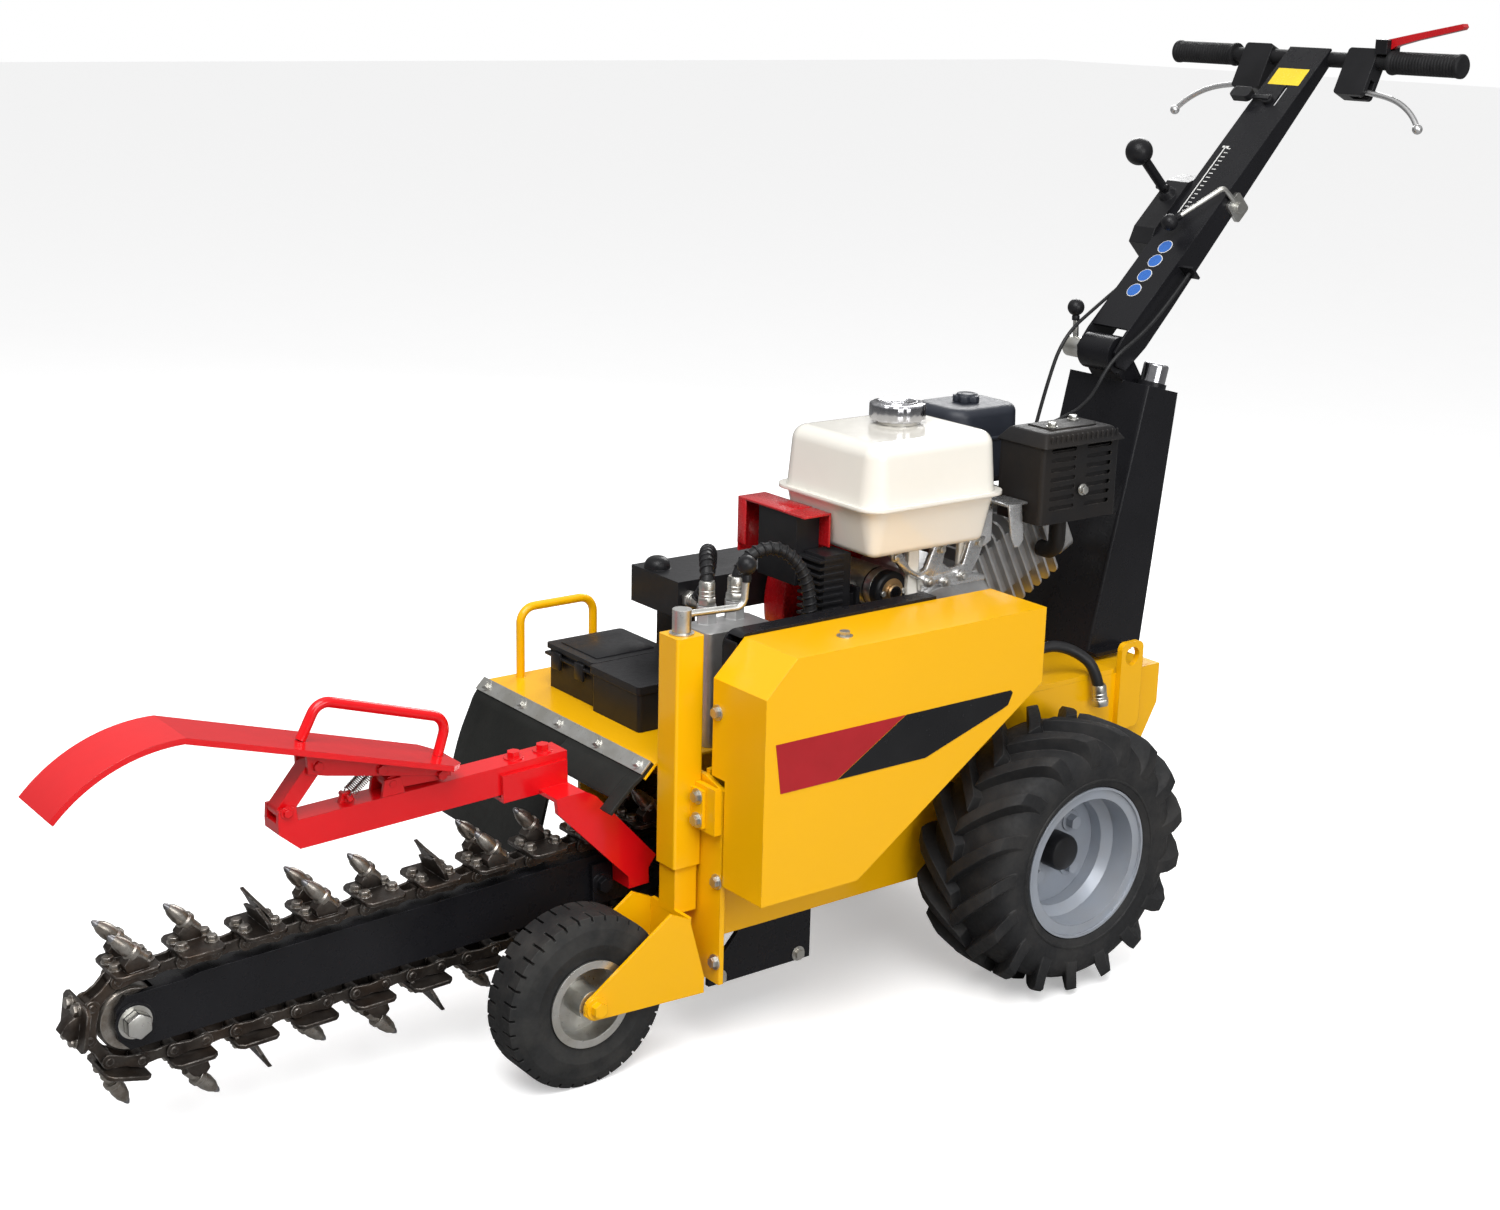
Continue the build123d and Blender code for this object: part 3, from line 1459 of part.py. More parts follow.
def make_cutter_teeth():
    """Bolt-on plates round the chain: a bullet, a pair of bullets and a scraper in turn."""
    pins = chain_pins()
    plate_low = link_half_height + part_gap
    nodes = []
    for station in range(0, chain_pitches - 2, 2):
        kind = (station // 2) % 3
        start, end = pins[station], pins[station + 1]
        if abs(end[1] - start[1]) > chain_pitch * 0.95:
            continue
        heading = math.atan2(end[1] - start[1], end[0] - start[0])
        middle = ((start[0] + end[0]) / 2, (start[1] + end[1]) / 2)
        nodes.append(cutter(middle, heading, plate_low, kind))
    save("cutter_teeth", *nodes)


def cutter(middle, heading, low, kind):
    """One plate with its teeth, in boom coordinates."""
    travel = Vector(
        boom_cos * math.cos(heading) + boom_sin * math.sin(heading), 0,
        -boom_sin * math.cos(heading) + boom_cos * math.sin(heading))
    up = Vector(-travel.Z, 0, travel.X)
    if Vector(*boom_point(*middle)).sub(Vector(*boom_point(boom_length / 2, 0))).dot(up) < 0:
        up = up * -1
    origin = Vector(*boom_point(*middle)) + up * low
    base = Plane(origin=origin, x_dir=travel, z_dir=up)
    with BuildPart() as piece:
        with BuildSketch(base):
            Rectangle(58, 2 * cutter_half_width)
        extrude(amount=6)
        if kind == 2:
            with BuildSketch(Plane(
                    origin=origin + up * 5 + Vector(0, cutter_half_width, 0), x_dir=travel,
                    z_dir=(0, -1, 0))):
                with BuildLine():
                    Polyline((-9, 0), (15, 0), (3, cutter_blade(up)), (-1, cutter_blade(up)),
                             close=True)
                make_face()
            extrude(amount=10)
        else:
            rows = (-14,) if kind == 0 else (-26, 26)
            for row in rows:
                root = origin + up * 5 + Vector(0, row, 0)
                with BuildSketch(Plane(origin=root, x_dir=travel, z_dir=up)):
                    Rectangle(26, 18)
                extrude(amount=20)
                lean = (travel * 0.72 + up * 0.69).normalized()
                with BuildSketch(Plane(origin=root + up * 14 - travel * 10, z_dir=lean)):
                    Circle(9.5)
                extrude(amount=34, taper=7)
    return piece


def cutter_blade(up):
    """Height of a scraper blade; the sign follows the side of the loop it stands on."""
    return 40 if up.Z * boom_cos + up.X * boom_sin > 0 else -40


# ---------------------------------------------------------------- crumber
arm_low, arm_high = 167.0, 207.0
arm_half = 20.0
arm_rear, arm_front = 240.0, 668.0
front_pivot = (655.0, 220.0)
shoe_front_pivot = (608.4, 271.4)
rear_pivot = (504.8, 222.0)
shoe_rear_pivot = (433.9, 218.0)
link_pin = 5.0
shoe_half_width = 50.0
shoe_sheet = 8.0


def make_crumber_arm():
    """Fixed crumber arm: square tube, clamp channel, bent bracket, ears and pins."""
    with BuildPart() as arm:
        with BuildSketch(boom_side(arm_half)):
            with BuildLine():
                Polyline(
                    (arm_rear, arm_low), (arm_rear, arm_high), (arm_front, arm_high),
                    (arm_front, arm_high - 14), (arm_front - 28, arm_low), close=True)
            make_face()
        extrude(amount=2 * arm_half)
        for y_left in (arm_half, -arm_half + 6):
            with BuildSketch(boom_side(y_left)):
                with BuildLine():
                    Polyline(
                        (front_pivot[0] - 15, arm_high - 2), (front_pivot[0] - 13, arm_high + 18),
                        (front_pivot[0] + 11, arm_high + 18),
                        (front_pivot[0] + 13, arm_high - 2), close=True)
                make_face()
            extrude(amount=6)
        for y_left in (arm_half - 1, -arm_half + 6):
            with BuildSketch(boom_side(y_left)):
                with BuildLine():
                    Polyline(
                        (rear_pivot[0] - 17, arm_high - 2), (rear_pivot[0] - 12, arm_high + 22),
                        (rear_pivot[0] + 12, arm_high + 22), (rear_pivot[0] + 17, arm_high - 2),
                        close=True)
                make_face()
            extrude(amount=5)
        for pivot in (front_pivot, rear_pivot):
            with BuildSketch(boom_side(arm_half)):
                with Locations(pivot):
                    Circle(link_pin)
            extrude(amount=2 * arm_half)
        with BuildSketch(boom_side(3)):
            with BuildLine():
                Polyline(
                    (spring_low[0] - 12, arm_high - 2), (spring_low[0] - 6, arm_high + 13),
                    (spring_low[0] + 6, arm_high + 13), (spring_low[0] + 12, arm_high - 2),
                    close=True)
            make_face()
        extrude(amount=6)
        with BuildSketch(boom_side(14)):
            with Locations(spring_low):
                Circle(spring_pin)
        extrude(amount=28)
    outer = arm_half + part_gap
    with BuildPart() as clamp:
        with BuildSketch(boom_side(outer + 6)):
            with BuildLine():
                Polyline(
                    (arm_rear + 4, 163), (arm_rear + 4, 196), (arm_rear + 106, 196),
                    (arm_rear + 106, 163), close=True)
            make_face()
        extrude(amount=6)
        with BuildSketch(boom_side(outer + 6)):
            with BuildLine():
                Polyline(
                    (arm_rear + 4, 157), (arm_rear + 4, 163.1), (arm_rear + 106, 163.1),
                    (arm_rear + 106, 157), close=True)
            make_face()
        extrude(amount=2 * outer + 12)
        with BuildSketch(boom_side(-outer)):
            with BuildLine():
                Polyline(
                    (arm_rear + 4, 163), (arm_rear + 4, 196), (arm_rear + 106, 196),
                    (arm_rear + 106, 163), close=True)
            make_face()
        extrude(amount=6)
        with BuildSketch(boom_side(bracket_y)):
            with BuildLine():
                Polyline(
                    (arm_rear + 4, 163), (arm_rear + 50, 163), (arm_rear + 48, 140),
                    (162, 2), (130, 40), (arm_rear - 14, 152), close=True)
            make_face()
        extrude(amount=8)
        with BuildSketch(boom_side(bracket_y)):
            with BuildLine():
                Polyline(
                    (arm_rear + 4, 157), (arm_rear + 50, 157), (arm_rear + 50, 163),
                    (arm_rear + 4, 163), close=True)
            make_face()
        extrude(amount=bracket_y - outer)
        with BuildSketch(boom_side(bracket_y)):
            with Locations((160, 18)):
                Rectangle(34, 34)
        extrude(amount=bracket_y - (boom_half_width + 2 * part_gap + 9))
    bolts = [
        hex_bolt(boom_point(along, arm_high, 0), boom_up, 16, 8, 2) for along in (267, 313)]
    pin_heads = [
        hex_bolt(boom_point(*pivot, y=arm_half), (0, 1, 0), 10, 4, 1)
        for pivot in (front_pivot,)]
    save("crumber_arm", arm, clamp, *bolts, *pin_heads)


bracket_y = 70.0
spring_pin = 3.5
spring_low = (563.7, 214.0)
spring_high = (520.4, 246.0)


def link_outline(first, second):
    """Middle, heading and length of the line between two pivots."""
    heading = math.degrees(math.atan2(second[1] - first[1], second[0] - first[0]))
    length = math.hypot(second[0] - first[0], second[1] - first[1])
    middle = ((first[0] + second[0]) / 2, (first[1] + second[1]) / 2)
    return middle, heading, length


def make_links():
    """Front link, whose shoe end has a loose hole, and rear link, with close holes."""
    links = (
        ("front_link", front_pivot, shoe_front_pivot, 11.0, 13.4, open_pivot_room),
        ("rear_link", rear_pivot, shoe_rear_pivot, 9.0, 13.4, running_clearance))
    for name, first, second, half, y_half, room in links:
        middle, heading, length = link_outline(first, second)
        with BuildPart() as link:
            with BuildSketch(boom_side(y_half)):
                with Locations(Location(middle, heading)):
                    SlotCenterToCenter(length, 2 * half)
                with Locations(first):
                    Circle(link_pin + running_clearance, mode=Mode.SUBTRACT)
                with Locations(second):
                    Circle(link_pin + room, mode=Mode.SUBTRACT)
            extrude(amount=2 * y_half)
        save(name, link)


open_pivot_room = 2.5


def make_crumber_shoe():
    """Long shoe: curved nose, straight sole, channel below, and a grab bar above."""
    slope = math.atan2(shoe_crease[1] - shoe_tail[1], shoe_crease[0] - shoe_tail[0])
    normal = (-math.sin(slope), math.cos(slope))
    tail_top = (
        shoe_tail[0] + shoe_sheet * normal[0], shoe_tail[1] + shoe_sheet * normal[1])
    crease_top = (
        shoe_crease[0] + shoe_sheet * normal[0], shoe_crease[1] + shoe_sheet * normal[1])
    with BuildPart() as shoe:
        with BuildSketch(boom_side(shoe_half_width)):
            with BuildLine():
                Line(shoe_tail, shoe_crease)
                ThreePointArc(shoe_crease, shoe_mid, shoe_nose)
                Line(shoe_nose, (shoe_nose[0] + 5, shoe_nose[1] + 6))
                ThreePointArc(
                    (shoe_nose[0] + 5, shoe_nose[1] + 6),
                    (shoe_mid[0] + 3, shoe_mid[1] + 7.5), crease_top)
                Line(crease_top, tail_top)
                Line(tail_top, shoe_tail)
            make_face()
        extrude(amount=2 * shoe_half_width)
        ends = shoe.faces().sort_by(Axis((0, 0, 0), boom_forward))[0]
        chamfer(ends.edges().filter_by(
            lambda edge: abs(edge.tangent_at(0.5).Y) < 0.1), 22)
        for y_left in (19, -14):
            with BuildSketch(boom_side(y_left)):
                with BuildLine():
                    Polyline(
                        (shoe_rear_pivot[0] - 14, shoe_rear_pivot[1] - 5),
                        (shoe_rear_pivot[0] - 14, shoe_rear_pivot[1] + 16),
                        (shoe_front_pivot[0] + 14, shoe_front_pivot[1] + 25),
                        (shoe_front_pivot[0] + 14, shoe_front_pivot[1] - 8),
                        (shoe_front_pivot[0] - 12, shoe_front_pivot[1] - 16), close=True)
                make_face()
            extrude(amount=5)
        for pivot in (shoe_front_pivot, shoe_rear_pivot):
            with BuildSketch(boom_side(19)):
                with Locations(pivot):
                    Circle(link_pin)
            extrude(amount=38)
        with BuildSketch(boom_side(19)):
            with Locations(spring_high):
                Circle(spring_pin)
        extrude(amount=38)
        heads = (shoe_front_pivot, shoe_rear_pivot, spring_high)
        for pivot in heads:
            place = boom_point(*pivot, y=19)
            with BuildSketch(Plane(origin=place, z_dir=(0, 1, 0))):
                RegularPolygon(7, 6)
            extrude(amount=5)
        route = [
            boom_point(428, 238), boom_point(411, 287), boom_point(594, 351),
            boom_point(621, 304)]
        with BuildLine() as path:
            FilletPolyline(*route, radius=22)
        with BuildSketch(Plane(origin=route[0], z_dir=path.line % 0)):
            Circle(7)
        sweep(path=path.line)
    save("crumber_shoe", shoe)


shoe_tail = (412.0, 224.0)
shoe_crease = (791.6, 352.9)
shoe_mid = (880.0, 340.0)
shoe_nose = (958.0, 290.0)


def make_crumber_springs():
    """Two tension springs side by side, from the arm's lug up to the shoe's pin."""
    run = Vector(spring_high[0] - spring_low[0], spring_high[1] - spring_low[1], 0)
    step = run.normalized() * (spring_pin + part_gap)
    first = (spring_low[0] + step.X, spring_low[1] + step.Y)
    last = (spring_high[0] - step.X, spring_high[1] - step.Y)
    springs = []
    for y in (-8.5, 8.5):
        start, end = Vector(*boom_point(*first, y=y)), Vector(*boom_point(*last, y=y))
        with BuildPart() as spring:
            with BuildSketch(Plane(origin=start, z_dir=(end - start).normalized())):
                Circle(5)
            extrude(amount=(end - start).length)
        springs.append(spring)
    save("crumber_springs", *springs)


# ---------------------------------------------------------------- handle
handle_cos = math.cos(math.radians(handle_angle))
handle_sin = math.sin(math.radians(handle_angle))


def handle_side(y):
    """Sketch plane of the handle: local x runs up the arm, local y out of its top face."""
    origin = (fwd(handle_pivot_ahead), y, handle_pivot_z)
    return Plane(origin=origin, x_dir=(-handle_cos, 0, handle_sin), z_dir=(0, 1, 0))


def handle_point(along, out, y=0.0):
    """World place of a point given along the arm and out of its top face."""
    x = fwd(handle_pivot_ahead) - along * handle_cos + out * handle_sin
    z = handle_pivot_z + along * handle_sin + out * handle_cos
    return (x, y, z)


handle_up = (-handle_cos, 0, handle_sin)
handle_out = (handle_sin, 0, handle_cos)
arm_top_out = 24.0
arm_start = 34.0
arm_sheet = 4.0


def make_handle_arm():
    """Folded channel arm: top face, two tapering cheeks that reach down to the pivot, gusset."""
    cheek = [
        (arm_start - 8, arm_top_out), (bar_along - 6, arm_top_out), (bar_along - 6, 4),
        (120, -24), (40, -27), (14, -24), (-14, -20), (-22, 0), (-10, 20)]
    with BuildPart() as arm:
        for y_low in (-handle_half_width, handle_half_width - arm_sheet):
            with BuildSketch(handle_side(y_low)):
                with BuildLine():
                    Polyline(*cheek, close=True)
                make_face()
            extrude(amount=arm_sheet)
        with BuildSketch(handle_side(-handle_half_width)):
            with BuildLine():
                Polyline(
                    (arm_start, arm_top_out - arm_sheet), (arm_start, arm_top_out),
                    (bar_along + 8, arm_top_out), (bar_along + 8, arm_top_out - arm_sheet),
                    close=True)
            make_face()
        extrude(amount=2 * handle_half_width)
        with BuildSketch(handle_side(-handle_half_width)):
            Circle(pin_radius)
        extrude(amount=2 * handle_half_width)
        with BuildSketch(handle_side(-handle_half_width)):
            with Locations((bar_along, bar_out)):
                Circle(bar_radius + part_gap)
        extrude(amount=2 * handle_half_width, mode=Mode.SUBTRACT)
        origin = handle_point(throttle_along, arm_top_out)
        with BuildSketch(Plane(origin=origin, x_dir=handle_up, z_dir=handle_out)):
            with Locations((12, throttle_side)):
                SlotOverall(44, 6)
        extrude(amount=-10, mode=Mode.SUBTRACT)
    x, _, z = handle_point(cable_bracket_along, 4)
    tab_plane = Plane(
        origin=(x, handle_half_width, z), x_dir=(0, 1, 0), z_dir=handle_up)
    with BuildPart() as tab:
        with BuildSketch(tab_plane):
            with Locations((14, 0)):
                Rectangle(28, 26)
        extrude(amount=4)
    with BuildPart() as whole:
        add(arm.part)
        add(tab.part)
    save("handle_arm", whole)


throttle_along = 520.0
throttle_side = -8.0
cable_bracket_along = 172.0


def make_handlebar():
    """Round cross bar with a rubber grip on each end."""
    x, _, z = handle_point(bar_along, bar_out)
    bare = bar_half_length - grip_length + 20
    bar = ring(x, z, -bare, bare, bar_radius)
    with BuildPart() as whole:
        add(bar.part)
        for side in (-1, 1):
            low, high = sorted((side * (bar_half_length - 6), side * bare))
            add(ring(x, z, low, high, bar_radius).part)
    grips = []
    for side in (-1, 1):
        low, high = sorted((side * bar_half_length, side * (bar_half_length - grip_length)))
        with BuildPart() as grip:
            add(ring(x, z, low, high, grip_radius).part)
            inside = ring(
                x, z, *sorted((side * (bar_half_length - 6), side * 60)),
                bar_radius + part_gap)
            add(inside.part, mode=Mode.SUBTRACT)
        grips.append(grip)
    save("handlebar", whole, *grips)


bar_out = 7.0
lever_tilt = math.radians(24)
lever_down = (math.sin(lever_tilt), 0, -math.cos(lever_tilt))
lever_normal = (math.cos(lever_tilt), 0, math.sin(lever_tilt))


def lever_point(y, down, depth=0.0):
    """World place in the plane of the hand levers."""
    x, _, z = handle_point(bar_along, bar_out)
    return (
        x + lever_down[0] * down + lever_normal[0] * depth, y,
        z + lever_down[2] * down + lever_normal[2] * depth)


housing_inner, housing_outer = 78.0, 136.0
housing_drop = 62.0
hand_pivot = (118.0, 50.0)


def make_lever_housings():
    """Clamped plastic housings of the two hand levers, and the red lever's block."""
    blocks = []
    for side in (-1, 1):
        low, high = sorted((side * housing_inner, side * housing_outer))
        with BuildPart() as housing:
            centre = lever_point((low + high) / 2, 0, 0)
            with BuildSketch(Plane(
                    origin=centre, x_dir=(0, 1, 0), z_dir=lever_normal).offset(-14)):
                sign = lever_sign(centre)
                with Locations((0, sign * (housing_drop - 17) / 2)):
                    RectangleRounded(high - low, housing_drop + 17, 6)
            extrude(amount=28)
            x, _, z = handle_point(bar_along, bar_out)
            add(ring(x, z, low - 1, high + 1, bar_radius + part_gap).part, mode=Mode.SUBTRACT)
            slot = lever_point(side * (hand_pivot[0] + 14), hand_pivot[1], 0)
            with BuildSketch(Plane(
                    origin=slot, x_dir=(0, 1, 0), z_dir=lever_normal).offset(-6)):
                Rectangle(52, 36)
            extrude(amount=12, mode=Mode.SUBTRACT)
            pivot = lever_point(side * hand_pivot[0], hand_pivot[1], 0)
            with BuildSketch(Plane(origin=pivot, z_dir=lever_normal).offset(-14)):
                Circle(4)
            extrude(amount=28)
        blocks.append(housing)
    x, _, z = handle_point(bar_along, bar_out)
    middle = (red_block_inner + red_block_outer) / 2
    with BuildPart() as red_block:
        with BuildSketch(Plane.XY.offset(z + bar_radius + part_gap)):
            with Locations((x, middle)):
                Rectangle(34, red_block_outer - red_block_inner)
        extrude(amount=red_pivot_up - bar_radius + 8)
        with BuildSketch(Plane.XY.offset(z + bar_radius + 5)):
            with Locations((x, middle + 4)):
                Rectangle(13, red_block_outer - red_block_inner)
        extrude(amount=40, mode=Mode.SUBTRACT)
        with BuildSketch(Plane(
                origin=(x - 16, red_pivot_y, z + red_pivot_up), z_dir=(1, 0, 0))):
            Circle(3)
        extrude(amount=32)
    save("lever_housings", *blocks, red_block)


def lever_sign(centre):
    """Sign that makes a local step go away from the bar in the plane of the levers."""
    local_y = Plane(origin=centre, x_dir=(0, 1, 0), z_dir=lever_normal).y_dir
    return 1 if local_y.dot(Vector(*lever_down)) > 0 else -1


red_block_inner, red_block_outer = 136.6, 159.4
red_pivot_y = 149.0
red_pivot_up = 27.0


def make_hand_levers():
    """Cast hand levers, curving out below the grips to a ball end."""
    for name, side in (("left_lever", 1), ("right_lever", -1)):
        bend = [(116, 50), (150, 54), (190, 62), (226, 80), (252, 106)]
        with BuildPart() as lever:
            points = [lever_point(side * y, down, 0) for y, down in bend]
            with BuildLine() as path:
                Spline(*points)
            with BuildSketch(Plane(origin=points[0], z_dir=path.line % 0)):
                Circle(4.5)
            sweep(path=path.line)
            with Locations(points[-1]):
                Sphere(8)
            pivot = lever_point(side * hand_pivot[0], hand_pivot[1], 0)
            with BuildSketch(Plane(origin=pivot, z_dir=lever_normal).offset(-5.5)):
                Circle(9)
            extrude(amount=11)
            with BuildSketch(Plane(origin=pivot, z_dir=lever_normal).offset(-8)):
                Circle(4 + running_clearance)
            extrude(amount=16, mode=Mode.SUBTRACT)
        save(name, lever)


def make_red_lever():
    """Red operator-presence lever over the left grip."""
    x, _, z = handle_point(bar_along, bar_out)
    outline = [
        (143, 20), (143, 32), (149, 35), (200, 46), (288, 64), (291, 59), (288, 55),
        (205, 36), (172, 27), (160, 21)]
    with BuildPart() as lever:
        with BuildSketch(Plane(origin=(x - 6, 0, z), x_dir=(0, 1, 0), z_dir=(1, 0, 0))):
            with BuildLine():
                Polyline(*outline, close=True)
            make_face()
            with Locations((red_pivot_y, red_pivot_up)):
                Circle(3 + running_clearance, mode=Mode.SUBTRACT)
        extrude(amount=12)
    save("red_lever", lever)


def make_clamp_lever():
    """Ball-ended lever with a round hub that locks the handle tilt."""
    x, z = fwd(handle_pivot_ahead), handle_pivot_z
    hub_right = -handle_half_width - part_gap
    with BuildPart() as lever:
        add(ring(x, z, hub_right - 36, hub_right, 17).part)
        with BuildSketch(Plane(origin=(x, hub_right - 24, z + 12), z_dir=(0.06, 0, 1))):
            Circle(5)
        extrude(amount=45, taper=1)
        with Locations((x + 3.5, hub_right - 24, z + 63)):
            Sphere(13)
    save("clamp_lever", lever)


def make_gear_console():
    """Plastic console on the arm's right side with the boot of the drive joystick."""
    top_out = arm_top_out
    with BuildPart() as console:
        with BuildSketch(handle_side(-handle_half_width - part_gap - 46)):
            with BuildLine():
                Polyline(
                    (205, -30), (205, top_out - 4), (230, top_out + 6), (330, top_out + 6),
                    (360, top_out - 12), (360, -30), close=True)
            make_face()
        extrude(amount=46)
        with BuildSketch(Plane(
                origin=handle_point(joystick_along, top_out + 5, joystick_y),
                z_dir=handle_out)):
            Circle(15)
        extrude(amount=12, taper=20)
    save("gear_console", console)


joystick_along = 300.0
joystick_y = -66.0
stem_radius = 8.0
joystick_out = arm_top_out + 17 + part_gap + stem_radius
joystick_lean = Vector(1.0, 0, 0.95).normalized()


def make_joystick():
    """Drive joystick: stem and large ball knob, rocking on a cross axis."""
    centre = Vector(*handle_point(joystick_along, joystick_out, joystick_y))
    with BuildPart() as stick:
        with Locations(centre):
            Sphere(stem_radius)
        pin_half = 11
        add(ring(centre.X, centre.Z, joystick_y - pin_half, joystick_y + pin_half, 4.5).part)
        with BuildSketch(Plane(origin=centre, z_dir=joystick_lean)):
            Circle(stem_radius)
        extrude(amount=72)
        with Locations(centre + joystick_lean * 84):
            Sphere(22)
    save("joystick", stick)


def make_throttle_lever():
    """Throttle lever with a flat black knob, through the slot in the arm."""
    origin = Vector(*handle_point(throttle_along, arm_top_out + part_gap, throttle_side))
    out = Vector(*handle_out)
    with BuildPart() as lever:
        with BuildSketch(Plane(origin=origin, x_dir=handle_up, z_dir=handle_out)):
            Circle(9)
        extrude(amount=6)
        with BuildSketch(Plane(
                origin=origin + out * 6, x_dir=handle_up, z_dir=handle_out)):
            with Locations((0, 16)):
                Rectangle(8, 44)
        extrude(amount=3)
        with BuildSketch(Plane(
                origin=origin + out * 6, x_dir=handle_up, z_dir=handle_out)):
            with Locations((0, 48)):
                RectangleRounded(22, 40, 8)
        extrude(amount=12)
    save("throttle_lever", lever)


def make_side_lever():
    """Zinc lever on the arm's left side: pivot plate, bent rod over the arm, and a ball."""
    with BuildPart() as lever:
        with BuildSketch(handle_side(handle_half_width + part_gap)):
            with Locations((side_pivot_along, -8)):
                RectangleRounded(34, 40, 6)
        extrude(amount=6)
        x, _, z = handle_point(side_pivot_along, -8)
        boss_low = handle_half_width + part_gap
        add(ring(x, z, boss_low, boss_low + 12, 9).part)
        route = [
            handle_point(side_pivot_along, 6, handle_half_width + 5),
            handle_point(side_pivot_along - 4, arm_top_out + 18, handle_half_width + 5),
            handle_point(side_pivot_along - 84, arm_top_out + 26, 6)]
        with BuildLine() as path:
            FilletPolyline(*route, radius=8)
        with BuildSketch(Plane(origin=route[0], z_dir=path.line % 0)):
            Circle(4)
        sweep(path=path.line)
        with Locations(handle_point(side_pivot_along - 92, arm_top_out + 27, 1)):
            Sphere(13)
    save("side_lever", lever)


side_pivot_along = 322.0


def make_control_cables():
    """Bowden cables from the handle down to the engine, each in a gentle bow."""
    left = [
        handle_point(cable_bracket_along - part_gap, 4, handle_half_width + 16),
        handle_point(120, 4, 59), handle_point(44, 8, 57), handle_point(-30, 26, 50),
        (fwd(-262), 36, 812), (fwd(-222), -6, 776), (fwd(-186), -36, 762),
        (fwd(-147.8), -40, 760)]
    right = [
        handle_point(204, -2, -handle_half_width - 9), handle_point(140, 6, -50),
        handle_point(70, 26, -49), (fwd(-282), -49, 905), (fwd(-258), -58, 820),
        (fwd(-228), -62, 700), (fwd(-210), -61, 560), (fwd(-208), -60, engine_base + part_gap)]
    cables = []
    for route in (left, right):
        radii = corner_radii(route)
        print("cable radii", [round(radius, 1) for radius in radii])
        cables.append(tube(route, radii, 3))
    save("control_cables", *cables)


make_frame_sides()
make_rear_beam()
make_engine_deck()
make_front_deck()
make_flap_strip()
make_rubber_flap()
make_mast_tube()
make_chain_gearbox()
make_belt_cover()
make_inner_guard()
for wheel_name, wheel_side in (("left", 1), ("right", -1)):
    make_drive_wheel(wheel_name, wheel_side)
make_transaxle()
make_hydraulic_tank()
make_breather_cap()
make_engine_block()
make_fan_shroud()
make_engine_electrics()
make_fuel_tank()
make_fuel_cap()
make_air_cleaner()
make_muffler()
make_belt_drive()
make_deck_boxes()
make_valve_cover()
make_hydraulic_pump()
make_hydraulic_hoses()
make_chassis_bolts()
make_front_fork()
make_front_wheel()
make_crank_handle()
make_boom_bar()
make_tip_roller()
make_drive_sprocket()
make_digging_chain()
make_cutter_teeth()
make_crumber_arm()
make_links()
make_crumber_shoe()
make_crumber_springs()
make_handle_arm()
make_handlebar()
make_lever_housings()
make_hand_levers()
make_red_lever()
make_clamp_lever()
make_gear_console()
make_joystick()
make_throttle_lever()
make_side_lever()
make_control_cables()
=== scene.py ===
"""Looks of a walk-behind chain trencher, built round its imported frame."""

import json
import math

import bpy
from mathutils import Matrix, Vector

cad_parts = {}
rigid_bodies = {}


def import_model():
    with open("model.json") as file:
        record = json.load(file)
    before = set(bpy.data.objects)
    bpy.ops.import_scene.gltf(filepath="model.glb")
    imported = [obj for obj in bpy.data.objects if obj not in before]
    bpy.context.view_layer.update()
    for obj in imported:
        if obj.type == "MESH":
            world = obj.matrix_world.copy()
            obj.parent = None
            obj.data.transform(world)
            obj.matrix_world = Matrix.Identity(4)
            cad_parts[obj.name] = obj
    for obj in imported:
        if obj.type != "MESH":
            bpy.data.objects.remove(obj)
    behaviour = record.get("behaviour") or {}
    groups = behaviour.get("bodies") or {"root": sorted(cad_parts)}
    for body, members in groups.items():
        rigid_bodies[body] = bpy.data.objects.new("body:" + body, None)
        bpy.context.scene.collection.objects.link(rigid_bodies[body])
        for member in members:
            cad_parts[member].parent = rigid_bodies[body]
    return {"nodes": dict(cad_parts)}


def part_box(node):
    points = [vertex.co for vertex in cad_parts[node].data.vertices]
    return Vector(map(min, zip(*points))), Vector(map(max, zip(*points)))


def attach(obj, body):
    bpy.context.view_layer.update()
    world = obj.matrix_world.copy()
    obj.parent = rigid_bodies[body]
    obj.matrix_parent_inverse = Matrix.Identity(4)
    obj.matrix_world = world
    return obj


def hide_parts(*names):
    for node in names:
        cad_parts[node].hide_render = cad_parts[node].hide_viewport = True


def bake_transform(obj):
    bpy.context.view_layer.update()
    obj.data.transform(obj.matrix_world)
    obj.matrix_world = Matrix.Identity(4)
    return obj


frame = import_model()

bl_info = {
    "name": "Chain trencher looks",
    "version": (1, 0, 0),
    "blender": (4, 5, 0),
    "location": "3D View > Sidebar > Trencher",
    "description": "Finishes, digging chain, tyres, hoses, trim and stage of a chain trencher",
    "category": "Object",
}

REAR_AXLE_X = -0.315
BOOM_PIVOT = Vector((0.1315, 0.0, 0.2225))
BOOM_TILT = math.radians(2.0)
BOOM_LENGTH = 0.874
HANDLE_PIVOT = Vector((-0.6426, 0.0, 0.883))
HANDLE_SLOPE = math.radians(45.0)
FULL_TURN = 2 * math.pi
TRACK_HALF = 271.0
TYRE_RADIUS = 206.0
COVER_FACE = 295.35
HANDLE_FACE = 24.05
BAR_ALONG = 632.0
LEFTWARD = (0.0, 1.0, 0.0)
UPWARD = (0.0, 0.0, 1.0)
SIDES = ((1, "left"), (-1, "right"))


# ---------------------------------------------------------------- sizes and colours


